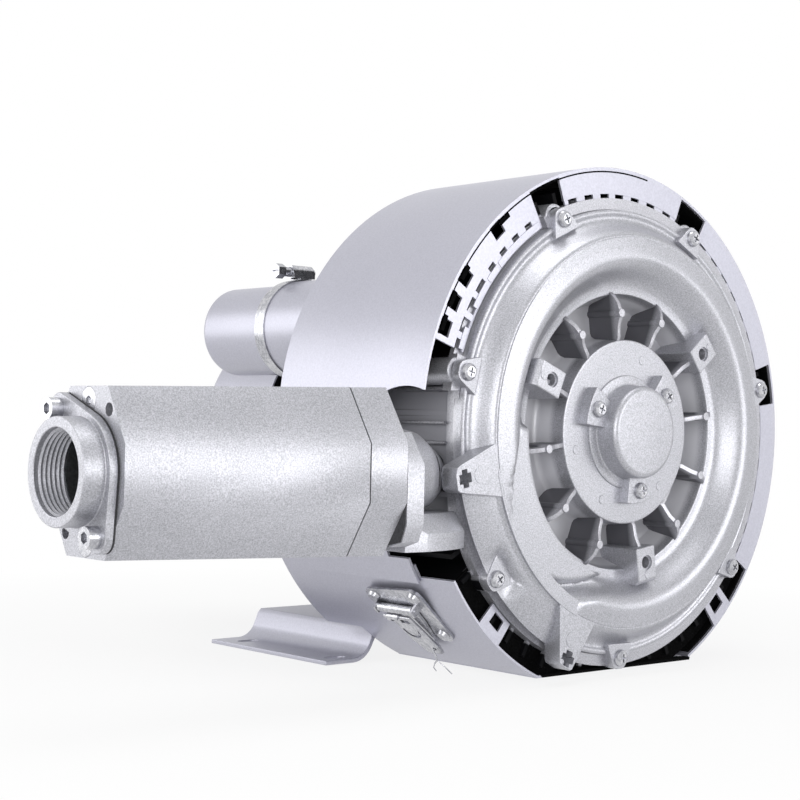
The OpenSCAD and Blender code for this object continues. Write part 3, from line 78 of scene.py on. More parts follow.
azimuth, elevation, roll = (math.radians(angle) for angle in CAMERA_ANGLES)
back = Vector((math.sin(azimuth) * math.cos(elevation), -math.cos(azimuth) * math.cos(elevation),
               math.sin(elevation)))
level = Vector((0, 0, 1)).cross(back).normalized()
rise = back.cross(level)
right = math.cos(roll) * level + math.sin(roll) * rise
up = -math.sin(roll) * level + math.cos(roll) * rise
lens = bpy.data.cameras.new("studio_camera")
lens.sensor_width = SENSOR_WIDTH
lens.lens = FOCAL_LENGTH
lens.clip_start = 0.05
lens.clip_end = 30.0
camera = bpy.data.objects.new("studio_camera", lens)
bpy.context.scene.collection.objects.link(camera)
turn = Matrix((right, up, back)).transposed().to_4x4()
camera.matrix_world = Matrix.Translation(spot(*CAMERA_SPOT)) @ turn
bpy.context.scene.camera = camera


def add(tree, kind, links=None, **settings):
    """Adds a node with its settings, and sets or links its inputs."""
    node = tree.nodes.new(kind)
    for key, value in settings.items():
        setattr(node, key, value)
    for key, value in (links or {}).items():
        if isinstance(value, bpy.types.NodeSocket):
            tree.links.new(value, node.inputs[key])
        else:
            node.inputs[key].default_value = value
    return node


def new_material(name):
    """An empty material with its surface shader and output."""
    made = bpy.data.materials.new(name)
    made.use_nodes = True
    tree = made.node_tree
    tree.nodes.clear()
    shader = add(tree, "ShaderNodeBsdfPrincipled")
    add(tree, "ShaderNodeOutputMaterial", {"Surface": shader.outputs["BSDF"]})
    place = add(tree, "ShaderNodeTexCoord").outputs["Object"]
    return made, tree, shader, place


def grain(name, light, dark, metallic, roughness, grit_mm, depth_mm, drift_mm=60.0, drift_share=0.15,
          strength=0.35, specular=0.5):
    """A painted or plated surface: two close tones that a fine grit mixes, with
    a little broad drift, and the same grit tilts the light."""
    made, tree, shader, place = new_material(name)
    drift = add(tree, "ShaderNodeTexNoise", {"Vector": place, "Scale": 1000 / drift_mm, "Detail": 2.0})
    grit = add(tree, "ShaderNodeTexNoise", {"Vector": place, "Scale": 1000 / grit_mm, "Detail": 2.0})
    fine = add(tree, "ShaderNodeMath", {0: grit.outputs["Fac"], 1: 1 - drift_share}, operation="MULTIPLY")
    tone = add(tree, "ShaderNodeMath", {0: drift.outputs["Fac"], 1: drift_share, 2: fine.outputs[0]},
               operation="MULTIPLY_ADD")
    ramp = add(tree, "ShaderNodeValToRGB", {"Fac": tone.outputs[0]})
    ramp.color_ramp.elements[0].position = 0.34
    ramp.color_ramp.elements[0].color = hex_colour(dark)
    ramp.color_ramp.elements[1].position = 0.66
    ramp.color_ramp.elements[1].color = hex_colour(light)
    tree.links.new(ramp.outputs["Color"], shader.inputs["Base Color"])
    shader.inputs["Metallic"].default_value = metallic
    shader.inputs["Roughness"].default_value = roughness
    shader.inputs["Specular IOR Level"].default_value = specular
    bump = add(tree, "ShaderNodeBump", {"Height": grit.outputs["Fac"], "Distance": depth_mm * MM,
                                        "Strength": strength})
    tree.links.new(bump.outputs["Normal"], shader.inputs["Normal"])
    return made


def painted_shading_by_depth(made, dark, front_mm, back_mm, radius_mm, metal=0.0, sheen=0.04, side=None):
    """Paints light and shade into a casting: behind one depth on the shaft or outside one radius
    its paint turns to another tone with less sheen, darker for painted shade, lighter for painted light."""
    tree = made.node_tree
    shader = next(node for node in tree.nodes if node.type == "BSDF_PRINCIPLED")
    place = next(node for node in tree.nodes if node.type == "TEX_COORD").outputs["Object"]
    local = add(tree, "ShaderNodeVectorMath", {0: place, 1: tuple(SHAFT)}, operation="SUBTRACT").outputs[0]
    depth = add(tree, "ShaderNodeSeparateXYZ", {0: local}).outputs["Y"]
    behind = add(tree, "ShaderNodeMapRange", {0: depth, 1: front_mm * MM, 2: back_mm * MM})
    flat = add(tree, "ShaderNodeVectorMath", {0: local, 1: (1, 0, 1)}, operation="MULTIPLY").outputs[0]
    reach = add(tree, "ShaderNodeVectorMath", {0: flat}, operation="LENGTH").outputs["Value"]
    outside = add(tree, "ShaderNodeMapRange", {0: reach, 1: radius_mm * MM, 2: (radius_mm + 1) * MM})
    share = add(tree, "ShaderNodeMath", {0: behind.outputs[0], 1: outside.outputs[0]}, operation="MAXIMUM")
    start_metal = shader.inputs["Metallic"].default_value
    for entry, start, end in (("Metallic", start_metal, metal), ("Specular IOR Level", 0.5, sheen)):
        fading = add(tree, "ShaderNodeMapRange", {0: share.outputs[0], 3: start, 4: end})
        tree.links.new(fading.outputs[0], shader.inputs[entry])
    paint = shader.inputs["Base Color"].links[0].from_socket
    mixed = add(tree, "ShaderNodeMix", {0: share.outputs[0]}, data_type="RGBA")
    tree.links.new(paint, mixed.inputs[6])
    mixed.inputs[7].default_value = hex_colour(dark)
    if side:
        # Beside the silencer, where more light reaches the casing, the painted shade is a lighter grey.
        across = add(tree, "ShaderNodeSeparateXYZ", {0: local})
        left = add(tree, "ShaderNodeMapRange", {0: across.outputs["X"], 1: -100 * MM, 2: -108 * MM})
        high = add(tree, "ShaderNodeMapRange", {0: across.outputs["Z"], 1: -52 * MM, 2: -44 * MM})
        open_part = add(tree, "ShaderNodeMath", {0: left.outputs[0], 1: high.outputs[0]},
                        operation="MULTIPLY")
        low = add(tree, "ShaderNodeMapRange", {0: across.outputs["Z"], 1: 30 * MM, 2: 36 * MM, 3: 1.0, 4: 0.0})
        part = add(tree, "ShaderNodeMath", {0: open_part.outputs[0], 1: low.outputs[0]}, operation="MULTIPLY")
        under = add(tree, "ShaderNodeMix", {0: part.outputs[0]}, data_type="RGBA")
        under.inputs[6].default_value = hex_colour(dark)
        under.inputs[7].default_value = hex_colour(side)
        tree.links.new(under.outputs[2], mixed.inputs[7])
    tree.links.new(mixed.outputs[2], shader.inputs["Base Color"])
    return made


# Silver enamel sprayed on die-cast aluminium: a matt sheen with a fine sandy
# grit, drawn at 0.7 mm because the real 0.3 mm grit is too fine to show.
cast_enamel = grain("silver_enamel_on_casting", "#C3C3CA", "#9A9BA0", 0.64, 0.40, 0.7, 0.08)
# Silver enamel rolled on sheet steel: smoother, and a little bluer.
sheet_enamel = grain("silver_enamel_on_sheet", "#BDBDC8", "#B0B0BB", 0.62, 0.40, 1.0, 0.03, 90.0, 0.3, 0.2)
# Zinc-plated steel: bright, with a faint yellowish to blue drift.
zinc_plate = grain("zinc_plated_steel", "#CDCDD1", "#A0A1A7", 0.9, 0.26, 2.0, 0.03, 9.0, 0.4, 0.2)
# Ground bearing and shaft steel
ground_steel = grain("ground_steel", "#B9BBBE", "#8F9296", 0.95, 0.28, 1.5, 0.02, 12.0, 0.4, 0.2)
# Bare cast aluminium of the impellers
bare_aluminium = grain("bare_cast_aluminium", "#C0C2C4", "#A2A5A8", 0.9, 0.38, 1.2, 0.06)
# The same enamel on the finned casings, with painted shade: behind the ring and
# outside its radius the colour turns near black for the shade inside the shroud.
ring_painted_shade = painted_shading_by_depth(grain("ring_casting_enamel_painted_shade", "#BBBBC1", "#97979D", 0.6, 0.40, 0.7, 0.10),
                            "#101012", 3.0, 9.0, 135.0, side="#8C8C92")
# Painted light: the recess between the hub and the dome takes a paler, less metallic tone, so that it stays
# light in its shade
dish_painted_light = painted_shading_by_depth(grain("cover_enamel_painted_light", "#C3C3CA", "#9A9BA0", 0.64, 0.37, 0.7, 0.08),
                            "#CCCCD1", -1.0, 3.0, 200.0, 0.2, 0.5)
# Painted shade on the ribs' flanks: darker behind their crests
rib_painted_shade = painted_shading_by_depth(grain("enamel_on_ribs_painted_shade", "#C3C3CA", "#A4A4A9", 0.6, 0.37, 0.7, 0.08),
                           "#5C5C61", -7.5, -3.5, 200.0, 0.4, 0.3)
# Painted shade: the rear casing behind the shroud, in a dark dull tone for the shade it lies in
rear_painted_shade = grain("rear_casting_painted_shade", "#4A4A4E", "#2A2A2D", 0.35, 0.55, 1.6, 0.2, 14.0, 0.3, 0.5, 0.2)
# Nitrile rubber, moulded
nitrile = grain("nitrile_rubber", "#1C1C1D", "#121213", 0.0, 0.62, 1.0, 0.03)
# Glass-filled polyamide, moulded
polyamide = grain("moulded_polyamide", "#26272A", "#18191B", 0.0, 0.48, 0.9, 0.04)
# Black needle felt, glued in the shroud; its black also stands in for the shade inside the shroud
felt_and_painted_shade = grain("felt_and_painted_shade", "#0D0D0E", "#030303", 0.0, 0.98, 1.3, 0.5, 8.0, 0.3, 0.8, 0.05)
# Enamelled copper windings
copper_wire = grain("enamelled_copper", "#A4552B", "#6E3216", 0.8, 0.35, 0.9, 0.15, 6.0, 0.3, 0.6)
# Mineral wool lining
mineral_wool = grain("mineral_wool", "#9A9072", "#6C644B", 0.0, 0.95, 1.6, 0.6, 10.0, 0.3, 0.8)
# Compressed fibre gasket board
gasket_board = grain("fibre_gasket_board", "#3B3B3E", "#29292B", 0.0, 0.8, 0.8, 0.05)

finish_of = {
    "sheet": sheet_enamel, "cast": cast_enamel, "zinc": zinc_plate, "steel": ground_steel,
    "wheel": bare_aluminium, "rubber": nitrile, "plastic": polyamide, "felt": felt_and_painted_shade,
    "copper": copper_wire, "lining": mineral_wool, "paper": gasket_board,
}
own_finish = {"centre_casing": ring_painted_shade, "rear_casing": rear_painted_shade}
slot_of = {s["node"]: s["material_slot"] for s in frame["record"]["subparts"]}
for name, node in frame["nodes"].items():
    coat = own_finish.get(name, finish_of[slot_of[name]])
    for each in node.material_slots:
        each.material = coat


def clear_selection():
    """Nothing selected, so that the next operator acts on one object alone."""
    if bpy.context.object and bpy.context.object.mode != "OBJECT":
        bpy.ops.object.mode_set(mode="OBJECT")
    bpy.ops.object.select_all(action="DESELECT")


def only(piece):
    """Makes one object the selected and active one."""
    clear_selection()
    piece.select_set(True)
    bpy.context.view_layer.objects.active = piece


def settle(piece):
    """Puts the object's place into its mesh."""
    only(piece)
    bpy.ops.object.transform_apply(location=True, rotation=True, scale=True)


def finish(piece, name, material, body="frame", angle=35):
    """Names and paints a finished piece and lets it ride on its body."""
    settle(piece)
    piece.name = name
    piece.data.materials.clear()
    piece.data.materials.append(material)
    bpy.ops.object.shade_smooth_by_angle(angle=math.radians(angle))
    flats = piece.modifiers.new("flats", "WEIGHTED_NORMAL")
    flats.keep_sharp = True
    bpy.ops.object.modifier_apply(modifier="flats")
    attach(piece, body)
    return piece


def bevel(piece, width, segments=2, angle=30):
    """Rounds a piece's edges and applies it."""
    only(piece)
    rounding = piece.modifiers.new("round", "BEVEL")
    rounding.width = width * MM
    rounding.segments = segments
    rounding.limit_method = "ANGLE"
    rounding.angle_limit = math.radians(angle)
    bpy.ops.object.modifier_apply(modifier="round")


def remove(piece):
    """Deletes a cutter, or a pattern piece that has been copied."""
    only(piece)
    bpy.ops.object.delete()


def cut(piece, tools):
    """Cuts tool solids out of a piece and removes them."""
    for tool in tools:
        only(piece)
        away = piece.modifiers.new("cut", "BOOLEAN")
        away.operation = "DIFFERENCE"
        away.solver = "EXACT"
        away.object = tool
        bpy.ops.object.modifier_apply(modifier="cut")
        remove(tool)


def rod(x, y, z, radius, length, axis="Y", sides=32):
    """A round bar that starts at a point on the machine's axes and runs along
    one of them."""
    clear_selection()
    step = {"X": Vector((1, 0, 0)), "Y": Vector((0, 1, 0)), "Z": Vector((0, 0, 1))}[axis]
    spin = {"X": (0, math.pi / 2, 0), "Y": (math.pi / 2, 0, 0), "Z": (0, 0, 0)}[axis]
    centre = spot(x, y, z) + step * length / 2 * MM
    bpy.ops.mesh.primitive_cylinder_add(vertices=sides, radius=radius * MM, depth=length * MM,
                                        location=centre, rotation=spin)
    return bpy.context.object


def drawn(points, fill):
    """A closed outline through points in millimetres on the machine's axes."""
    clear_selection()
    bpy.ops.mesh.primitive_circle_add(vertices=len(points), radius=MM, fill_type=fill, location=(0, 0, 0))
    piece = bpy.context.object
    for vertex, point in zip(piece.data.vertices, points):
        vertex.co = spot(*point)
    return piece


def face_outwards(piece):
    """Turns all faces of a closed piece outwards."""
    only(piece)
    bpy.ops.object.mode_set(mode="EDIT")
    bpy.ops.mesh.select_all(action="SELECT")
    bpy.ops.mesh.normals_make_consistent(inside=False)
    bpy.ops.object.mode_set(mode="OBJECT")


def slab(points, move):
    """A flat outline that is pulled along a move in millimetres."""
    piece = drawn(points, "NGON")
    bpy.ops.object.mode_set(mode="EDIT")
    bpy.ops.mesh.select_all(action="SELECT")
    bpy.ops.mesh.extrude_region_move(TRANSFORM_OT_translate={"value": [part * MM for part in move]})
    bpy.ops.object.mode_set(mode="OBJECT")
    face_outwards(piece)
    return piece


def plate(outline, y, thickness):
    """A flat outline, as seen from the front, given depth towards the back.
    The outline is a list of X and Z in millimetres, counted against the clock."""
    return slab([(x, y, z) for x, z in outline], (0, thickness, 0))


def fin(outline, thickness):
    """A plate that stands along the shaft: its outline is a list of radius and
    depth, and it is centred on the angle zero."""
    return slab([(r, y, -thickness / 2) for r, y in outline], (0, 0, thickness))


def arc(radius, start, end, steps):
    """Points on a circle round the shaft, as X and Z."""
    return [(radius * math.cos(math.radians(start + (end - start) * k / steps)),
             radius * math.sin(math.radians(start + (end - start) * k / steps))) for k in range(steps + 1)]


def ring_plate(inner, outer, start, end, y, thickness):
    """A flat piece of a ring round the shaft."""
    steps = max(2, int((end - start) / 1.5))
    return plate(arc(outer, start, end, steps) + arc(inner, end, start, steps), y, thickness)


def turn_about_shaft(piece, angle):
    """Turns a piece round the shaft, against the clock as seen from the front."""
    settle(piece)
    piece.data.transform(Matrix.Translation(SHAFT) @ Matrix.Rotation(-math.radians(angle), 4, "Y")
                         @ Matrix.Translation(-SHAFT))
    piece.data.update()


def copies_round_shaft(piece, angles):
    """Copies a piece to angles round the shaft, each copy with its own mesh,
    and removes the pattern piece."""
    settle(piece)
    made = []
    for angle in angles:
        twin = piece.copy()
        twin.data = piece.data.copy()
        bpy.context.scene.collection.objects.link(twin)
        turn_about_shaft(twin, angle)
        made.append(twin)
    remove(piece)
    return made


def joined(pieces):
    """Joins pieces into the first one."""
    clear_selection()
    for piece in pieces:
        piece.select_set(True)
    bpy.context.view_layer.objects.active = pieces[0]
    bpy.ops.object.join()
    return bpy.context.object


def spun(profile, steps):
    """A profile of radius and depth in millimetres, spun round the shaft."""
    piece = drawn([(r, y, 0) for r, y in profile], "NOTHING")
    bpy.ops.object.mode_set(mode="EDIT")
    bpy.ops.mesh.select_all(action="SELECT")
    bpy.ops.mesh.spin(steps=steps, angle=math.tau, center=SHAFT, axis=(0, 1, 0))
    bpy.ops.mesh.select_all(action="SELECT")
    bpy.ops.mesh.remove_doubles(threshold=MERGE)
    bpy.ops.object.mode_set(mode="OBJECT")
    face_outwards(piece)
    return piece


def block(low, high):
    """A box between two corners given in millimetres on the machine's axes."""
    clear_selection()
    middle = [(a + b) / 2 for a, b in zip(low, high)]
    size = [(b - a) * MM for a, b in zip(low, high)]
    bpy.ops.mesh.primitive_cube_add(size=1.0, location=spot(*middle), scale=size)
    piece = bpy.context.object
    settle(piece)
    return piece


def smooth_step(value):
    """Eases a share from 0 to 1, level at both ends."""
    value = min(max(value, 0.0), 1.0)
    return value * value * (3 - 2 * value)


def rise_between(start, end, steps):
    """Points from one radius and depth to another, level at both ends."""
    return [(start[0] + (end[0] - start[0]) * k / steps,
             start[1] + (end[1] - start[1]) * (1 - math.cos(math.pi * k / steps)) / 2)
            for k in range(1, steps)]


# Front cover: the dished casting that closes the first stage. Its channel dome
# is spun, and the interrupter's land, band and scoop are pressed into it.
BAND_EDGE = 111.9
BAND_DEPTH = -15.1
BAND_END = 245.5
LAND_DEPTH = -12.0
hub_and_recess = [(23.45, -7.2), (24.2, -7.6), (51.6, -7.6), (52.5, -7.35), (53.0, -6.5), (54.0, 9.5),
                  (55.4, 12.2), (57.5, 13.0), (71.0, 13.0), (73.4, 12.2), (74.8, 9.5)]
inner_rim = [(78.6, -2.6), (79.3, -3.9), (80.1, -4.1), (81.7, -4.1), (82.6, -4.4)]
dome = rise_between((82.6, -4.4), (99.0, -16.7), 18)[:-2]
dome += [(97.4, -16.35), (98.6, -16.75), (99.9, -16.95), (101.4, -16.95), (103.4, -16.75), (106.0, -16.4),
         (109.0, -15.95), (111.2, -15.6), (111.5, -15.0), (BAND_EDGE, BAND_DEPTH)]
for k in range(1, 14):
    share = k / 14
    drop = 11.3 * (1 - math.cos(math.pi * share ** 0.9)) / 2
    dome.append((BAND_EDGE + 10.6 * share, BAND_DEPTH + drop))
outer_rim = [(122.6, -3.75), (123.8, -3.7), (124.6, -4.3), (125.5, -4.72), (126.6, -4.75), (127.4, -4.3),
             (127.65, -3.4), (127.65, 1.9)]
inside = [(118.1, 1.9), (118.1, 8.9), (78.1, 8.9), (78.1, 16.9), (14.2, 16.9), (14.2, 7.5), (23.45, 7.5)]


def land_depth(r):
    """Depth of the interrupter at a radius: from the inner rim down to the flat
    land, then the band that stands proud of it, then the scoop."""
    if r < 84.6:
        return -4.4 - 7.6 * smooth_step((r - 82.6) / 2.0)
    if r < 103.6:
        return LAND_DEPTH
    if r < 104.6:
        return LAND_DEPTH + (BAND_DEPTH - LAND_DEPTH) * smooth_step(r - 103.6)
    if r < BAND_EDGE:
        return BAND_DEPTH
    if r < 113.2:
        return BAND_DEPTH + 2.8 * smooth_step((r - BAND_EDGE) / 1.3)
    if r < 126.0:
        return -12.3 + 4.3 * ((r - 113.2) / 12.8) ** 1.3
    return -8.0 + 1.2 * (r - 126.0) / 1.6


def between(angle, start, end, blend_in, blend_out):
    """A share that rises to 1 after one angle and falls to 0 before another."""
    return smooth_step((angle - start) / blend_in) * smooth_step((end - angle) / blend_out)


def pressed(r, depth, angle):
    """Where the interrupter moves a point of the dome: its radius and depth."""
    land_start = 182.2 + 1.4 * (max(r, 90.0) - 94.4)
    land_end = 231.6 + 1.05 * (106.2 - r) + 1.1 * max(0.0, 85.5 - r)
    if r > 111.6:
        share = between(angle, FIRST_ARM - 1.0, SECOND_ARM + 0.4, 5.0, 5.0)
    elif r > 104.4:
        share = between(angle, land_start, SECOND_ARM - 0.6, 3.0, 1.5)
    else:
        share = between(angle, land_start, land_end, 4.0, 3.4)
        if angle >= land_end - 5:
            # After the land the dome climbs out of a shallow valley.
            depth += max(0.0, -7.0 - depth) * (1 - smooth_step((angle - land_end) / 13.0))
    floor = land_depth(r)
    if r > 116.0:
        # The scoop is a little deeper round the lug that stands in it.
        beside_lug = smooth_step((7.5 - abs(angle - SCOOP_LUG)) / 3.0) * smooth_step((r - 116.0) / 2.0)
        floor += max(0.0, -6.4 - floor) * beside_lug
    return r + max(r - 112, 0) * 0.33 * share, depth + (floor - depth) * share


cover = spun(hub_and_recess + inner_rim + dome + outer_rim + inside, 288)
for vertex in cover.data.vertices:
    place = (vertex.co - SHAFT) / MM
    r = math.hypot(place.x, place.z)
    if place.y > -3.0 or r < 82.7:
        continue
    reach, depth = pressed(r, place.y, math.degrees(math.atan2(place.z, place.x)) % 360)
    vertex.co = spot(place.x * reach / r, depth, place.z * reach / r)
cover.data.update()
face_outwards(cover)
finish(cover, "cover_dish", dish_painted_light, angle=42)
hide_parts("front_cover")

# Twelve ribs with saddle tops; nine of them carry a round ejector pin
rib_outline = [(52.0, -6.6), (54.5, -8.0), (58.0, -8.2), (62.0, -8.8), (66.0, -10.6), (68.4, -11.0),
               (70.8, -10.6), (74.4, -9.6), (78.0, -7.2), (80.6, -4.6), (80.6, -3.0), (78.4, -1.6),
               (75.9, 8.0), (75.9, 13.6), (53.0, 13.6)]
rib = fin(rib_outline, 2.6)
bevel(rib, 0.35, 2)
pin = rod(68.4, -11.7, 0, 2.45, 25.0)
bevel(pin, 0.35, 2)
pinned_rib = joined([rib, pin])
plain_rib = fin(rib_outline, 2.6)
bevel(plain_rib, 0.35, 2)
ribs = copies_round_shaft(pinned_rib, [angle for angle in RIBS if angle not in BOSSES])
ribs += copies_round_shaft(plain_rib, BOSSES)
finish(joined(ribs), "cover_ribs", rib_painted_shade)

# Three square bosses with threaded holes, each with a short spur inwards
boss = fin([(66.6, -15.3), (85.6, -15.3), (88.0, -12.5), (88.0, -4.5), (80.0, -2.0), (75.9, 8.0),
            (75.9, 13.5), (66.6, 13.5)], 15.6)
bevel(boss, 0.9, 3)
cut(boss, [rod(75.6, -17.0, 0, 3.4, 19.0)])
cut(boss, [rod(75.6, -15.6, 0, 4.3, 1.6)])
spur = fin([(55.0, -6.6), (66.9, -8.2), (66.9, 2.0), (55.0, 2.0)], 2.4)
bevel(spur, 0.6, 2)
mark = rod(82.6, -15.7, 0, 2.6, 1.0)
bevel(mark, 0.12, 1)
boss = joined([boss, spur, mark])
bosses = copies_round_shaft(boss, BOSSES)
finish(joined(bosses), "cover_bosses", cast_enamel)

# Seven wedge-shaped lugs
lug = plate([(121.4, -10.4), (133.0, -5.7), (135.0, -4.2), (135.9, -2.2), (135.9, 2.2), (135.0, 4.2),
             (133.0, 5.7), (121.4, 10.4)], -7.0, 8.6)
bevel(lug, 0.4, 2)
lugs = copies_round_shaft(lug, LUGS)
finish(joined(lugs), "cover_lugs", cast_enamel)

# Two arms at the interrupter's ends, with cross-shaped slots
first_outline = [(104.5, -14.2), (111.6, -14.4), (138.6, -7.9), (141.0, -6.8), (142.6, -3.2), (142.6, 4.6),
                 (141.2, 6.0), (138.0, 7.2), (112.0, 14.4), (104.5, 14.2)]
second_outline = [(104.5, -15.6), (111.8, -15.9), (139.4, -2.6), (140.9, -1.0), (141.4, 7.4), (140.2, 8.6),
                  (112.0, 14.8), (104.5, 14.6)]
arms = []
for angle, outline, slot_at in ((FIRST_ARM, first_outline, (136.6, -0.4)),
                                (SECOND_ARM, second_outline, (136.2, 2.6))):
    arm = plate(outline, -15.2, 12.0)
    bevel(arm, 0.5, 2)
    x, z = slot_at
    cut(arm, [block((x - 4.6, -17.0, z - 2.6), (x + 4.2, -7.0, z + 2.6)),
              block((x - 2.2, -17.0, z - 4.9), (x + 1.8, -7.0, z + 4.9))])
    mark = rod(125.5, -15.45, z * 0.45, 4.4, 1.0)
    bevel(mark, 0.12, 1)
    pin = rod(x + 2.2, -12.0, z, 1.9, 5.0)
    bevel(pin, 0.5, 2)
    arm = joined([arm, mark, pin])
    turn_about_shaft(arm, angle)
    arms.append(arm)
finish(joined(arms), "cover_arms", cast_enamel)

# The raised band that joins both arms, with a sharp outer edge
band = plate(arc(112.6, FIRST_ARM, BAND_END, 54) + arc(104.2, BAND_END, FIRST_ARM, 54), -15.5, 7.0)
bevel(band, 0.4, 2, 50)
finish(band, "interrupter_band", cast_enamel)

# Ejector marks on the hub, as low round lands
marks = []
for angle in (73.1, 193.9, 243.0, 313.6):
    mark = rod(43.3, -7.95, 0, 2.6, 1.0)
    bevel(mark, 0.15, 1)
    turn_about_shaft(mark, angle)
    marks.append(mark)
finish(joined(marks), "hub_marks", cast_enamel)

# Bearing cap: a drawn cup with a rounded shoulder, a low step and three ears
cap_profile = [(0.0, -16.0), (0.0, -22.6), (22.9, -22.6), (24.4, -22.2), (25.6, -21.2), (26.3, -19.6),
               (26.6, -12.0), (27.0, -9.6), (28.0, -8.9), (31.6, -8.8), (32.4, -8.4), (32.7, -7.2),
               (20.0, -7.2), (20.0, -16.0)]
cap = spun(cap_profile, 96)
finish(cap, "cap_cup", cast_enamel, angle=40)
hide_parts("bearing_cap")
ear = plate(arc(41.0, -16.0, 16.0, 8) + [(24.0, 7.4), (24.0, -7.4)], -14.3, 7.0)
bevel(ear, 0.55, 2, 50)
seat = rod(33.9, -14.7, 0, 4.6, 1.0)
bevel(seat, 0.15, 1)
ear = joined([ear, seat])
ears = copies_round_shaft(ear, BOSSES)
finish(joined(ears), "cap_ears", cast_enamel)

# Four light round bosses of the casing behind the cover's lugs
boss = rod(131.2, -1.4, 0, 7.5, 26.0)
bevel(boss, 1.2, 3)
bosses = copies_round_shaft(boss, LUGS[:4])
finish(joined(bosses), "casing_bosses", cast_enamel)

# Webs on the centre casing's side beside the silencer's neck
# Painted shade: the webs take a darker grey copy of the casting's enamel for the shade in the casing's gap
gap_painted_shade = grain("casing_gap_enamel_painted_shade", "#8E8E94", "#5C5C61", 0.4, 0.5, 0.9, 0.12, 20.0, 0.3)
wall = []
for angle, reach, deep in ((170.6, 131.6, 40.0), (178.6, 129.4, 44.0), (183.4, 129.0, 30.0)):
    web = plate([(121.0, -1.0), (reach, -0.8), (reach, 0.8), (121.0, 1.0)], 7.0, deep)
    bevel(web, 0.4, 2)
    turn_about_shaft(web, angle)
    wall.append(web)
finish(joined(wall), "casing_side_wall", gap_painted_shade)

# Painted shade: a black felt apron in the tray, which closes the view past the casing
outer = [(x, max(z, -136.4)) for x, z in arc(148.3, 214.0, 334.0, 80)]
apron = plate(outer + arc(129.0, 334.0, 214.0, 80), 5.0, 2.0)
finish(apron, "tray_painted_shade_apron", felt_and_painted_shade)
# Painted shade: the apron's lower edge, a black strip seen between the tray's bottom and the casing
edge = plate([(-57.9, -136.95), (70.0, -136.95), (70.4, -135.3), (-59.6, -135.3)], -0.15, 5.5)
finish(edge, "tray_painted_shade_edge", felt_and_painted_shade)

# Comb teeth that bridge the gap between the casing's ring and the sheet tabs.
# Each tab has its first and last angle and the angles of its gaps.
dash = 3.0
teeth = []
for first, last, gaps in ((68.7, 110.2, (72.4, 78.7, 84.7, 90.5, 95.8, 101.5, 107.4)),
                          (17.4, 59.2, (20.6, 26.3, 32.4, 38.6, 44.4, 50.2, 56.1)),
                          (-34.2, 7.6, (-31.2, -25.6, -19.8, -13.8, -7.9, -2.2, 4.0))):
    edges = [first] + [g + side * dash / 2 for g in gaps for side in (-1, 1)] + [last]
    for start, end in zip(edges[0::2], edges[1::2]):
        teeth.append(ring_plate(134.1, 137.3, start, end, 0.2, 1.1))
finish(joined(teeth), "tab_teeth", sheet_enamel)

# Folded strip on the wide tab, which leaves narrow slots
strips = []
for start, end in ((120.6, 137.6), (138.2, 142.8), (143.4, 150.6), (156.0, 161.3)):
    strips.append(ring_plate(129.8, 133.7, start, end, -0.3, 1.2))
finish(joined(strips), "tab_strip", sheet_enamel)

# Pipe thread in the port's mouth, as a ridge wound on the bore: eleven turns
# to the inch, and its flanks sink into the bore's wall
PORT_MOUTH = (-363.3, 1.8, -21.8)
THREAD_PITCH = 2.309
THREAD_TURNS = 6.5
THREAD_STEPS = 416
THREAD_RIDGE = ((0.0, 19.9), (1.1, 18.55), (2.2, 19.9))
clear_selection()
bpy.ops.mesh.primitive_circle_add(vertices=3, radius=MM, fill_type="NOTHING", location=spot(*PORT_MOUTH))
thread = bpy.context.object
for vertex, (along, out) in zip(thread.data.vertices, THREAD_RIDGE):
    vertex.co = Vector((along, 0.0, out)) * MM
only(thread)
wound = thread.modifiers.new("wound", "SCREW")
wound.axis = "X"
wound.angle = math.radians(360 * THREAD_TURNS)
wound.screw_offset = THREAD_PITCH * THREAD_TURNS * MM
wound.steps = THREAD_STEPS
wound.render_steps = THREAD_STEPS
wound.use_merge_vertices = False
bpy.ops.object.modifier_apply(modifier="wound")
face_outwards(thread)
finish(thread, "port_thread", cast_enamel)


def eased(node, width):
    """A copy of a built node with its sharp edges rounded a little."""
    source = frame["nodes"][node]
    piece = source.copy()
    piece.data = source.data.copy()
    bpy.context.scene.collection.objects.link(piece)
    only(piece)
    bpy.ops.object.mode_set(mode="EDIT")
    bpy.ops.mesh.select_all(action="SELECT")
    bpy.ops.mesh.remove_doubles(threshold=MERGE)
    bpy.ops.mesh.dissolve_limited(angle_limit=math.radians(0.5))
    bpy.ops.object.mode_set(mode="OBJECT")
    bevel(piece, width, 2, 35)
    coat = own_finish.get(node, finish_of[slot_of[node]])
    finish(piece, node + "_eased", coat)
    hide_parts(node)


# Cast edges are rounder than those of cut and bent sheet
for node, width in (("silencer_body", 1.2), ("silencer_end", 1.2), ("port_flange", 0.8),
                    ("upper_shroud", 0.3), ("lower_tray", 0.3), ("foot_bracket", 0.4),
                    ("intake_neck", 1.0), ("end_shield", 0.8), ("terminal_box", 1.0),
                    ("terminal_lid", 0.8)):
    eased(node, width)

# The latch sits on the tray's round side, 134 degrees with the clock from +X
LATCH_LEAN = math.radians(-134)
LATCH_RADIUS = 150.2
LATCH_DEPTH = 55


def latch_spot(out, along, up_face):
    """A point on the latch, in millimetres out from the tray's face, along the
    shaft, and up the face."""
    r = LATCH_RADIUS + out
    return spot(r * math.cos(LATCH_LEAN) - up_face * math.sin(LATCH_LEAN), LATCH_DEPTH + along,
                r * math.sin(LATCH_LEAN) + up_face * math.cos(LATCH_LEAN))


def wire(ends, radius):
    """A straight length of round wire between two points in metres."""
    clear_selection()
    step = ends[1] - ends[0]
    bpy.ops.mesh.primitive_cylinder_add(vertices=12, radius=radius * MM, depth=step.length,
                                        location=(ends[0] + ends[1]) / 2,
                                        rotation=step.to_track_quat("Z", "Y").to_euler())
    piece = bpy.context.object
    settle(piece)
    return piece


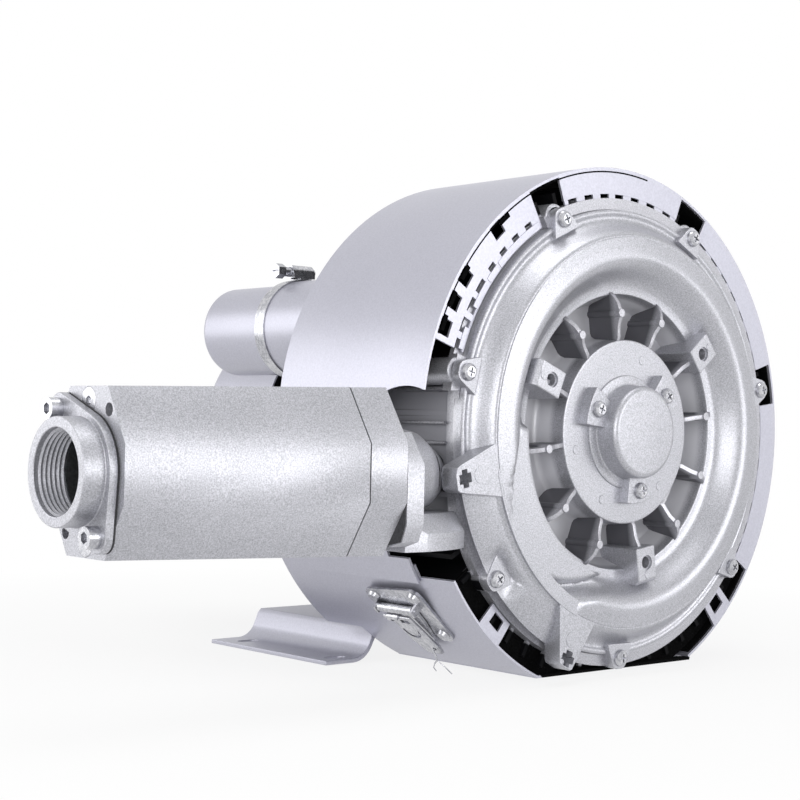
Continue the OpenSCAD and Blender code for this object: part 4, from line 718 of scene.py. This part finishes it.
# Tails of the locking wire, bent from the latch's small hole
tails = []
for bends in (((6.4, 1.0, 30.0), (7.4, 3.6, 33.0), (7.7, 3.2, 35.8)),
              ((6.2, -3.0, 27.0), (7.0, -7.0, 31.5), (7.5, -9.4, 36.2))):
    for first, last in zip(bends, bends[1:]):
        tails.append(wire((latch_spot(*first), latch_spot(*last)), 0.3))
finish(joined(tails), "wire_tails", zinc_plate, "lever")

# Painted shadow: thin black strips for the dark gap between the rolled sheet and the folded tabs, seen from
# the left
gap = []
for first, last in ((81.0, 114.5), (118.2, 160.6)):
    gap.append(ring_plate(149.25, 150.15, first, last, -0.06, 0.5))
for angle in (129.5, 145.9, 152.4, 157.9):
    gap.append(ring_plate(146.6, 150.1, angle - 1.7, angle + 1.7, -0.06, 0.5))
finish(joined(gap), "tab_edge_painted_shadow", felt_and_painted_shade)


def seen_rays(tree):
    """1 for rays that the camera sees straight, mirrored or through glass."""
    path = add(tree, "ShaderNodeLightPath")
    seen = add(tree, "ShaderNodeMath", {0: path.outputs["Is Camera Ray"], 1: path.outputs["Is Glossy Ray"]},
               operation="MAXIMUM")
    return add(tree, "ShaderNodeMath", {0: seen.outputs[0], 1: path.outputs["Is Transmission Ray"]},
               operation="MAXIMUM").outputs[0]


# Floor: a pale sheet that keeps a soft shadow and fades to white further out
FLOOR_DROP = 0.4
clear_selection()
bpy.ops.mesh.primitive_plane_add(size=12.0, location=(0, 0, -FLOOR_DROP * MM))
floor = bpy.context.object
floor.name = "studio_floor"
paper, tree, shader, place = new_material("white_paper_floor")
shader.inputs["Base Color"].default_value = (0.9, 0.9, 0.9, 1)
shader.inputs["Roughness"].default_value = 0.9
glow = add(tree, "ShaderNodeEmission", {"Color": (1, 1, 1, 1), "Strength": 1.0})
far = add(tree, "ShaderNodeVectorMath", {0: place}, operation="LENGTH").outputs["Value"]
fade = add(tree, "ShaderNodeMapRange", {0: far, 1: 220 * MM, 2: 550 * MM, 3: 0.84, 4: 1.0})
share = add(tree, "ShaderNodeMath", {0: seen_rays(tree), 1: fade.outputs[0]}, operation="MULTIPLY")
mixed = add(tree, "ShaderNodeMixShader", {0: share.outputs[0], 1: shader.outputs["BSDF"],
                                          2: glow.outputs["Emission"]})
for node in tree.nodes:
    if node.type == "OUTPUT_MATERIAL":
        tree.links.new(mixed.outputs[0], node.inputs["Surface"])
floor.data.materials.append(paper)

# World: white behind the object, and a softer grey as light
world = bpy.data.worlds.new("studio_world")
bpy.context.scene.world = world
world.use_nodes = True
tree = world.node_tree
tree.nodes.clear()
light = add(tree, "ShaderNodeBackground", {"Color": (1, 1, 1, 1), "Strength": 0.35})
white = add(tree, "ShaderNodeBackground", {"Color": (1, 1, 1, 1), "Strength": 1.0})
both = add(tree, "ShaderNodeMixShader", {0: seen_rays(tree), 1: light.outputs[0], 2: white.outputs[0]})
add(tree, "ShaderNodeOutputWorld", {"Surface": both.outputs[0]})


def lamp(name, place, aim, power, size):
    """A square softbox aimed at a point."""
    data = bpy.data.lights.new(name, "AREA")
    data.energy = power
    data.size = size
    made = bpy.data.objects.new(name, data)
    bpy.context.scene.collection.objects.link(made)
    made.location = place
    made.rotation_euler = (Vector(aim) - Vector(place)).to_track_quat("-Z", "Y").to_euler()


# Four softboxes, with places in metres and powers in watts
lamp("front_left_softbox", (-1.6, -1.5, 0.45), (-0.05, -0.1, 0.14), 20.0, 1.2)
lamp("front_right_softbox", (0.95, -2.0, 0.3), (-0.05, -0.15, 0.14), 18.0, 1.2)
lamp("back_left_softbox", (-1.6, 1.22, 0.35), (-0.1, 0.0, 0.14), 15.5, 1.5)
lamp("top_softbox", (0.1, -0.3, 1.8), (0.0, -0.05, 0.14), 11.0, 1.0)

bpy.context.scene.view_settings.view_transform = "Standard"
